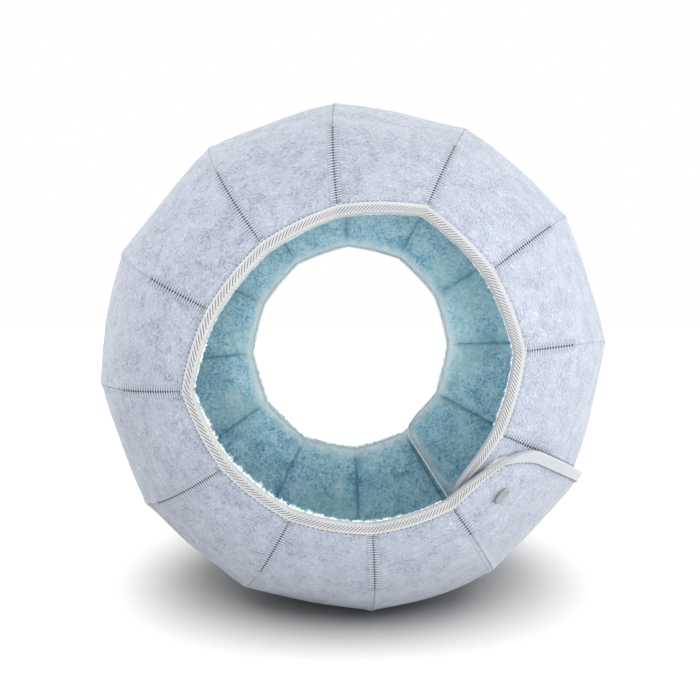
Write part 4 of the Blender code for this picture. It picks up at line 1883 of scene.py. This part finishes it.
@dataclass
class LadderSeams:
    """The ladder stitches that join the felt panels, and near-black beads between them
    as painted shade in the needle holes.
    """

    pitch: float = 0.0022
    growth: float = 1.8  # how much longer the last stitch is than the first
    radius: float = 0.00042
    start: float = 0.0094  # from the strip's edge
    half_reach: tuple[float, ...] = (0.0011, 0.0027, 0.0043, 0.0048)
    half_height: tuple[float, ...] = (0.0001, 0.0001, 0.0, -0.0006)
    middle_height: float = 0.0001
    thread_taper: tuple[float, ...] = (0.0, 0.9, 1.0, 1.0, 1.0, 1.0, 1.0, 0.9, 0.0)
    hole_stations: tuple[float, ...] = (-0.5, -0.3, 0.0, 0.3, 0.5)
    hole_taper: tuple[float, ...] = (0.0, 0.8, 1.0, 0.8, 0.0)
    hole_share: float = 0.46  # of the pitch
    hole_radius: float = 0.00060
    hole_width: float = 1.35  # times the radius
    hole_height: float = -0.00045

    def seam_places(self, index: int, shift: float) -> Array:
        """Places t along one seam, on its stitched parts.

        Args:
            index: Which line of the strip.
            shift: How far on along its stitch each place lies, as a share of a stitch.

        Returns:
            The places of the front part and then of the back part.
        """
        t = np.linspace(0.0, 1.0, 800)
        path, line = BALL.points(index, 0.0, t), LINES[index]
        strides = np.linalg.norm(np.diff(path, axis=0), axis=-1)
        run = np.pad(np.cumsum(strides), (1, 0))
        front = -math.degrees(math.acos(line.front / BALL.corner_radius))
        back = math.degrees(math.acos(line.back / BALL.corner_radius))
        stops = [(sign * line.ladder - front) / (back - front) for sign in (-1.0, 1.0)]
        first, second = (float(np.interp(stop, t, run)) for stop in stops)
        parts = ((first - self.start, 1.0), (run[-1] - self.start - second, -1.0))
        places = []
        for length, sign in parts:
            even = 2.0 / (1.0 + self.growth)
            count = int(length * even / self.pitch)
            share = (np.arange(count) + shift) / count
            found = self.start + length * (even * share + (1.0 - even) * share**2)
            places.append(found if sign > 0.0 else run[-1] - found)
        return np.interp(np.concatenate(places), run, t)

    def beside(self, index: int, t: Array, distance: float, height: float) -> Array:
        """Points beside a seam: before it where the distance is negative.

        Args:
            index: Which line of the strip.
            t: Places along the seam.
            distance: How far off the seam.
            height: How far out from the felt's face.

        Returns:
            The points.
        """
        panel = index - 1 if distance < 0.0 else index
        share = abs(distance) / BALL.width(panel, t)
        s = 1.0 - share if distance < 0.0 and panel != UNDERLAP else share
        return BALL.points(panel, s, t, height)

    def threads(self, index: int) -> tuple[Array, Array, Array]:
        """Centre lines of one seam's stitches, with the vectors across them.

        Args:
            index: Which line of the strip.

        Returns:
            What with_sides gives.
        """
        t = self.seam_places(index, 0.0)
        half = list(zip(self.half_reach, self.half_height))
        before = [(-distance, height) for distance, height in reversed(half)]
        lines, raised = [], []
        for distance, above in (*before, (0.0, self.middle_height), *half):
            height = float(seam_relief(abs(distance), 1.0)) + above
            lines.append(self.beside(index, t, distance, height))
            raised.append(self.beside(index, t, distance, height + PROBE))
        centres, high = np.stack(lines, axis=1), np.stack(raised, axis=1)
        return with_sides(centres, high - centres)

    def holes(self, index: int) -> tuple[Array, Array, Array]:
        """Centre lines of one seam's needle holes, with the vectors across them.

        Args:
            index: Which line of the strip.

        Returns:
            What with_sides gives.
        """
        lines, raised = [], []
        for share in self.hole_stations:
            t = self.seam_places(index, 0.5 + share * self.hole_share)
            lines.append(self.beside(index, t, 0.0, self.hole_height))
            raised.append(self.beside(index, t, 0.0, self.hole_height + PROBE))
        centres, high = np.stack(lines, axis=1), np.stack(raised, axis=1)
        centres, sideways, upwards = with_sides(centres, high - centres)
        return centres, sideways * self.hole_width, upwards

    def build(self, thread: Material, dark: Material) -> None:
        """Builds and dresses the stitches as one piece, and the painted hole shade as
        another.

        Args:
            thread: The stitches' material.
            dark: The material of the holes' painted shade.
        """
        thread_radius = np.array(self.thread_taper) * self.radius
        hole_radius = np.array(self.hole_taper) * self.hole_radius
        plans = (
            ("Seam_Ladder_Stitches", self.threads, thread_radius, thread),
            ("Seam_Needle_Holes", self.holes, hole_radius, dark),
        )
        for name, make, radius, finish in plans:
            found = [make(index) for index in range(1, PANELS)]
            centres, *sides = (np.concatenate(kind) for kind in zip(*found))
            spread = np.broadcast_to(radius, centres.shape[:2])
            piece = joined_grids(name, tube_places(centres, *sides, spread, sides=5))
            dress(piece, finish, "heather_felt")


@dataclass
class PileFringe:
    """The plush that peeks past the binding's fold and inner border."""

    route: BindingRoute
    per_metre: int = 9000
    length: tuple[float, float] = (0.0018, 0.0042)
    width: float = 0.00042
    root_height: float = -0.0036
    root_reach: float = 0.0012
    inner_share: float = 0.4  # of the way to the border, where the innermost roots lie
    inner_height: float = -0.0062
    inwards: float = 0.45  # lean towards the cave, against 1 straight out
    lean: float = 0.45  # spread of the lean along the edge
    thin: float = 0.15  # share of the length where the fringe is thinnest
    seed: int = 5

    def clumps(self, reach: Array) -> Array:
        """How far the tufts stand up in clumps at each distance along the edge.

        Args:
            reach: The distances.

        Returns:
            The shares.
        """
        fine = 0.35 * np.sin(reach / 0.0005 + 4.0 * np.sin(reach / 0.004))
        coarse = 0.25 * np.sin(reach / 0.0017) + 0.2 * np.sin(reach / 0.009)
        return 0.25 + (0.5 + fine + coarse).clip(0.0, None)

    def fullness(self) -> Array:
        """Share of the length at each step: fullest at the lower left."""
        thick = self.route.near(-138.0, 58.0) + 0.4 * self.route.near(95.0, 35.0)
        return self.thin + (1.0 - self.thin) * thick.clip(0.0, 1.0)

    def build(self, finish: Material) -> None:
        """Scatters short pointed tufts along the inside of the fold.

        Args:
            finish: The pale pile's material.
        """
        draw = np.random.default_rng(self.seed)
        route, place = self.route, self.route.place
        count = int(route.along[-1] * self.per_metre)
        reach = np.sort(draw.uniform(0.0, route.along[-1], count))
        at = np.interp(reach, route.along, np.arange(len(route.along)))
        step = np.floor(at).astype(int) % len(route.edge)
        kept = route.share_of(Zone.OPENING)[step] > 0.6
        reach, at, step, count = reach[kept], at[kept], step[kept], int(kept.sum())
        share = draw.uniform(0.0, 1.0, (count, 1)) ** 1.6
        outer = place(0.0, self.root_height, self.root_reach, at=at)
        inner = place(self.inner_share, self.inner_height, at=at)
        root = lerp(outer, inner, share * 1.1)
        edge = place(0.0, 0.0, at=at)
        inwards = (place(0.0, -PROBE, at=at) - edge) / PROBE
        outwards = (place(0.0, 0.0, PROBE, at=at) - edge) / PROBE
        lean = draw.normal(0.0, self.lean, (count, 1))
        direction = inwards * self.inwards + outwards * (1.0 - 0.5 * share)
        direction = unit(direction + np.cross(inwards, outwards) * lean)
        length = draw.uniform(*self.length, count) * self.clumps(reach)
        tip = root + direction * (length * self.fullness()[step])[:, None]
        width = self.width * draw.uniform(0.6, 1.4, (count, 1))
        piece = joined_tufts("Plush_Fringe", root, tip, outwards, width)
        dress(piece, finish, "teal_plush")


SNAP_PROFILE = (  # shares of the cap's radius and of its height, from its base
    (0.0, 0.0),
    (0.93, 0.0),
    (0.99, 0.14),
    (1.0, 0.35),
    (0.97, 0.62),
    (0.90, 0.82),
    (0.80, 0.93),
    (0.70, 0.90),
    (0.62, 0.84),
    (0.40, 0.88),
    (0.20, 0.90),
    (0.0, 0.90),
)


@dataclass
class Snap:
    """The round cap of the snap on the flap."""

    radius: float = 0.0079
    height: float = 0.0015
    segments: int = 64
    tilt: float = 13.0  # degrees outwards, into the felt's dimple

    def build(self, finish: Material, node: Piece) -> None:
        """Turns the cap's profile and seats it where the CAD's cap is.

        Args:
            finish: The cap's material.
            node: The CAD's cap, whose flattest direction is the cap's axis.
        """
        points = np.array([vertex.co for vertex in node.data.vertices])
        centre = points.mean(axis=0)
        _, _, axes = np.linalg.svd(points - centre, full_matrices=False)
        normal = Vector(axes[2])
        if normal.y > 0.0:
            normal.negate()
        reach = (points - centre) @ np.array(normal)
        base = Vector(centre) + normal * float(reach.min())
        tool = bmesh.new()
        places = [(x * self.radius, 0.0, z * self.height) for x, z in SNAP_PROFILE]
        verts = [tool.verts.new(place) for place in places]
        edges = [tool.edges.new(pair) for pair in zip(verts, verts[1:])]
        bmesh.ops.spin(
            tool,
            geom=verts + edges,
            cent=(0.0, 0.0, 0.0),
            axis=(0.0, 0.0, 1.0),
            angle=math.tau,
            steps=self.segments,
            use_merge=True,
        )
        outwards = Vector((base.x, 0.0, base.z - BALL.centre_height)).normalized()
        lean = Matrix.Rotation(math.radians(self.tilt), 4, normal.cross(outwards))
        turn = (lean @ normal).to_track_quat("Z", "Y").to_matrix().to_4x4()
        bmesh.ops.remove_doubles(tool, verts=tool.verts, dist=WELD)
        bmesh.ops.transform(
            tool, matrix=Matrix.Translation(base) @ turn, verts=tool.verts
        )
        piece = finished("Snap_Round_Cap", tool, weld=True)
        dress(piece, finish, "grey_snap", "snap_cap")


@dataclass(frozen=True)
class Softbox:
    """A soft square light that faces the ball."""

    name: str
    place: tuple[float, float, float]
    size: float
    power: float
    outside: bool = False  # whether it leaves the lining unlit
    tint: tuple[float, float, float] = (1.0, 1.0, 1.0)


SOFTBOXES = (
    Softbox(
        "Right_Side_Softbox", (2.0, -0.25, 0.8), 2.0, 58.0, False, (1.0, 0.975, 0.94)
    ),
    Softbox("Left_Behind_Softbox", (-1.6, 0.9, 1.5), 0.8, 47.0, True),
    Softbox("Front_Softbox", (0.2, -2.2, 0.6), 1.2, 12.0),
)


@dataclass(frozen=True)
class Spot:
    """A soft spotlight that shines in through the front opening."""

    name: str
    place: tuple[float, float, float]
    aim: tuple[float, float, float]
    power: float
    cone: float  # its full angle
    blend: float = 0.7
    size: float = 0.12


SPOTS = (
    Spot("Inside_Spot", (0.02, -0.90, 0.17), (0.0, 0.0, 0.26), 10.5, 22.0),
    Spot("Inside_Left_Spot", (0.42, -0.86, 0.22), (-0.02, -0.12, 0.24), 0.8, 17.0),
    Spot("Inside_Right_Spot", (-0.42, -0.86, 0.22), (0.02, -0.12, 0.25), 9.5, 17.0),
    Spot("Inside_Upper_Spot", (0.0, -0.86, 0.10), (0.0, -0.02, 0.37), 7.0, 14.0),
    Spot("Back_Rim_Spot", (0.0, -0.90, 0.25), (0.0, 0.0, 0.245), 12.0, 16.0, 0.35),
)


@dataclass(frozen=True)
class FloorLamp:
    """A broad light from far off that falls on the floor alone."""

    name: str
    turn: float  # degrees round from the front
    height: float  # degrees above the floor
    strength: float
    spread: float  # its own width in degrees
    under: bool  # whether only the four panels nearest the floor shade it


FLOOR_LAMPS = (
    FloorLamp("Floor_Contact_Lamp", 4.0, 58.0, 7.2, 54.0, True),
    FloorLamp("Floor_Front_Lamp", 6.0, 50.0, 1.8, 50.0, False),
)


@dataclass(frozen=True)
class Studio:
    """Floor, lights and camera."""

    camera_at: tuple[float, float, float] = (-0.0074, -0.7951, 0.2781)
    camera_yaw: float = 0.2728  # to the right
    camera_pitch: float = 2.7641  # downwards
    lens: float = 41.76  # in millimetres, on a sensor of sensor_width
    sensor_width: float = 36.0
    nearest: float = 0.01  # what the camera still sees
    world: float = 1.0
    floor_shade: float = 0.34
    floor_reach: float = 12.0
    sun_distance: float = 3.0

    def floor(self) -> Piece:
        """A plain pale floor.

        Returns:
            The floor.
        """
        tool = bmesh.new()
        bmesh.ops.create_grid(tool, x_segments=1, y_segments=1, size=self.floor_reach)
        piece = finished("Floor", tool, weld=False, recalculate=False)
        made, _, shader = blank_material("Floor_White")
        grey = (self.floor_shade, self.floor_shade, self.floor_shade, 1.0)
        shader.inputs["Base Color"].default_value = grey
        shader.inputs["Roughness"].default_value = 1.0
        piece.data.materials.append(made)
        return piece

    def hung(self, data: bpy.types.Light, place: Vector, towards: Vector) -> Piece:
        """A light in its place, turned in a direction.

        Args:
            data: The light's settings, whose name it takes.
            place: Where it hangs.
            towards: Which way it shines.

        Returns:
            The light, linked to the scene and hidden from the camera.
        """
        lamp = bpy.data.objects.new(data.name, data)
        lamp.location, lamp.visible_camera = place, False
        lamp.rotation_euler = towards.to_track_quat("-Z", "Y").to_euler()
        bpy.context.scene.collection.objects.link(lamp)
        return lamp

    def linked(self, lamp: Piece, pieces: list[Piece], state: str) -> None:
        """Keeps a light on some pieces alone, or off them.

        Args:
            lamp: The light.
            pieces: The pieces that the state is for.
            state: INCLUDE to light them alone, EXCLUDE to leave them unlit.
        """
        lit = bpy.data.collections.new(f"{lamp.name}_Receivers")
        for piece in pieces:
            lit.objects.link(piece)
        for entry in lit.collection_objects:
            entry.light_linking.link_state = state
        lamp.light_linking.receiver_collection = lit

    def floor_lamp(self, lamp: FloorLamp, floor: Piece) -> None:
        """Sets up a light for the floor, at its turn and height.

        Args:
            lamp: Its settings.
            floor: The floor.
        """
        data = bpy.data.lights.new(lamp.name, "SUN")
        data.energy, data.angle = lamp.strength, math.radians(lamp.spread)
        turn, height = math.radians(lamp.turn), math.radians(lamp.height)
        level = math.cos(height)
        ahead = (math.sin(turn) * level, -math.cos(turn) * level, math.sin(height))
        made = self.hung(data, Vector(ahead) * self.sun_distance, -Vector(ahead))
        self.linked(made, [floor], "INCLUDE")
        if not lamp.under:
            return
        shading = bpy.data.collections.new(f"{lamp.name}_Blockers")
        for layer in Layer:
            for panel in range(FLOOR_SEAM - 2, FLOOR_SEAM + 2):
                name = f"Cloth_{node_name(layer, panel)}"
                shading.objects.link(bpy.data.objects[name])
        made.light_linking.blocker_collection = shading

    def light(self, box: Softbox, floor: Piece) -> None:
        """Hangs a softbox, turned towards the ball's middle.

        Args:
            box: Its settings.
            floor: The floor, which it leaves unlit.
        """
        data = bpy.data.lights.new(box.name, "AREA")
        data.size, data.energy, data.color = box.size, box.power, box.tint
        middle = Vector((0.0, 0.0, BALL.centre_height))
        lamp = self.hung(data, Vector(box.place), middle - Vector(box.place))
        unlit = [floor]
        if box.outside:
            plush = ("Cloth_lining", "Plush_")
            unlit += [item for item in bpy.data.objects if item.name.startswith(plush)]
        self.linked(lamp, unlit, "EXCLUDE")

    def spot(self, lamp: Spot, floor: Piece) -> None:
        """Sets up a soft spotlight through the front opening, for the lining.

        Args:
            lamp: Its settings.
            floor: The floor, which it leaves unlit.
        """
        data = bpy.data.lights.new(lamp.name, "SPOT")
        data.energy, data.shadow_soft_size = lamp.power, lamp.size
        data.spot_size, data.spot_blend = math.radians(lamp.cone), lamp.blend
        place = Vector(lamp.place)
        made = self.hung(data, place, Vector(lamp.aim) - place)
        self.linked(made, [floor], "EXCLUDE")

    def camera(self) -> None:
        """The camera in front of the ball."""
        data = bpy.data.cameras.new("Camera")
        data.lens, data.sensor_width = self.lens, self.sensor_width
        data.clip_start = self.nearest
        camera = bpy.data.objects.new("Camera", data)
        camera.location = self.camera_at
        tilt = math.radians(90.0 - self.camera_pitch)
        camera.rotation_euler = (tilt, 0.0, -math.radians(self.camera_yaw))
        bpy.context.scene.collection.objects.link(camera)
        bpy.context.scene.camera = camera

    def build(self) -> None:
        """Sets up the whole studio."""
        scene = bpy.context.scene
        scene.view_settings.view_transform = "Standard"
        world = bpy.data.worlds.new("Studio")
        world.use_nodes = True
        background = world.node_tree.nodes["Background"]
        background.inputs["Color"].default_value = (1.0, 1.0, 1.0, 1.0)
        background.inputs["Strength"].default_value = self.world
        scene.world = world
        floor = self.floor()
        for box in SOFTBOXES:
            self.light(box, floor)
        for lamp in FLOOR_LAMPS:
            self.floor_lamp(lamp, floor)
        for lamp in SPOTS:
            self.spot(lamp, floor)
        self.camera()


def main() -> None:
    """Loads the frame and builds every piece of the cave in order."""
    logging.basicConfig(level=logging.INFO, format="%(message)s")
    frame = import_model()
    fibres = fibre_group()
    thread, holes, tape_thread_and_shade, plastic, tips = (
        finish.material(fibres)
        for finish in (SEAM_THREAD, SEAM_HOLE_SHADE, TAPE_THREAD_AND_SHADE, SNAP_PLASTIC, PILE_TIPS)
    )
    FeltPanels().build(FeltFinish().material(fibres))
    PlushPanels().build(PlushFinish().material(fibres))
    route = BindingRoute()
    Binding(route).build(TwillFinish().material(fibres), tape_thread_and_shade, thread)
    LadderSeams().build(thread, holes)
    PileFringe(route).build(tips)
    Snap().build(plastic, frame["nodes"]["snap_cap"])
    Studio().build()


if __name__ == "__main__":
    main()
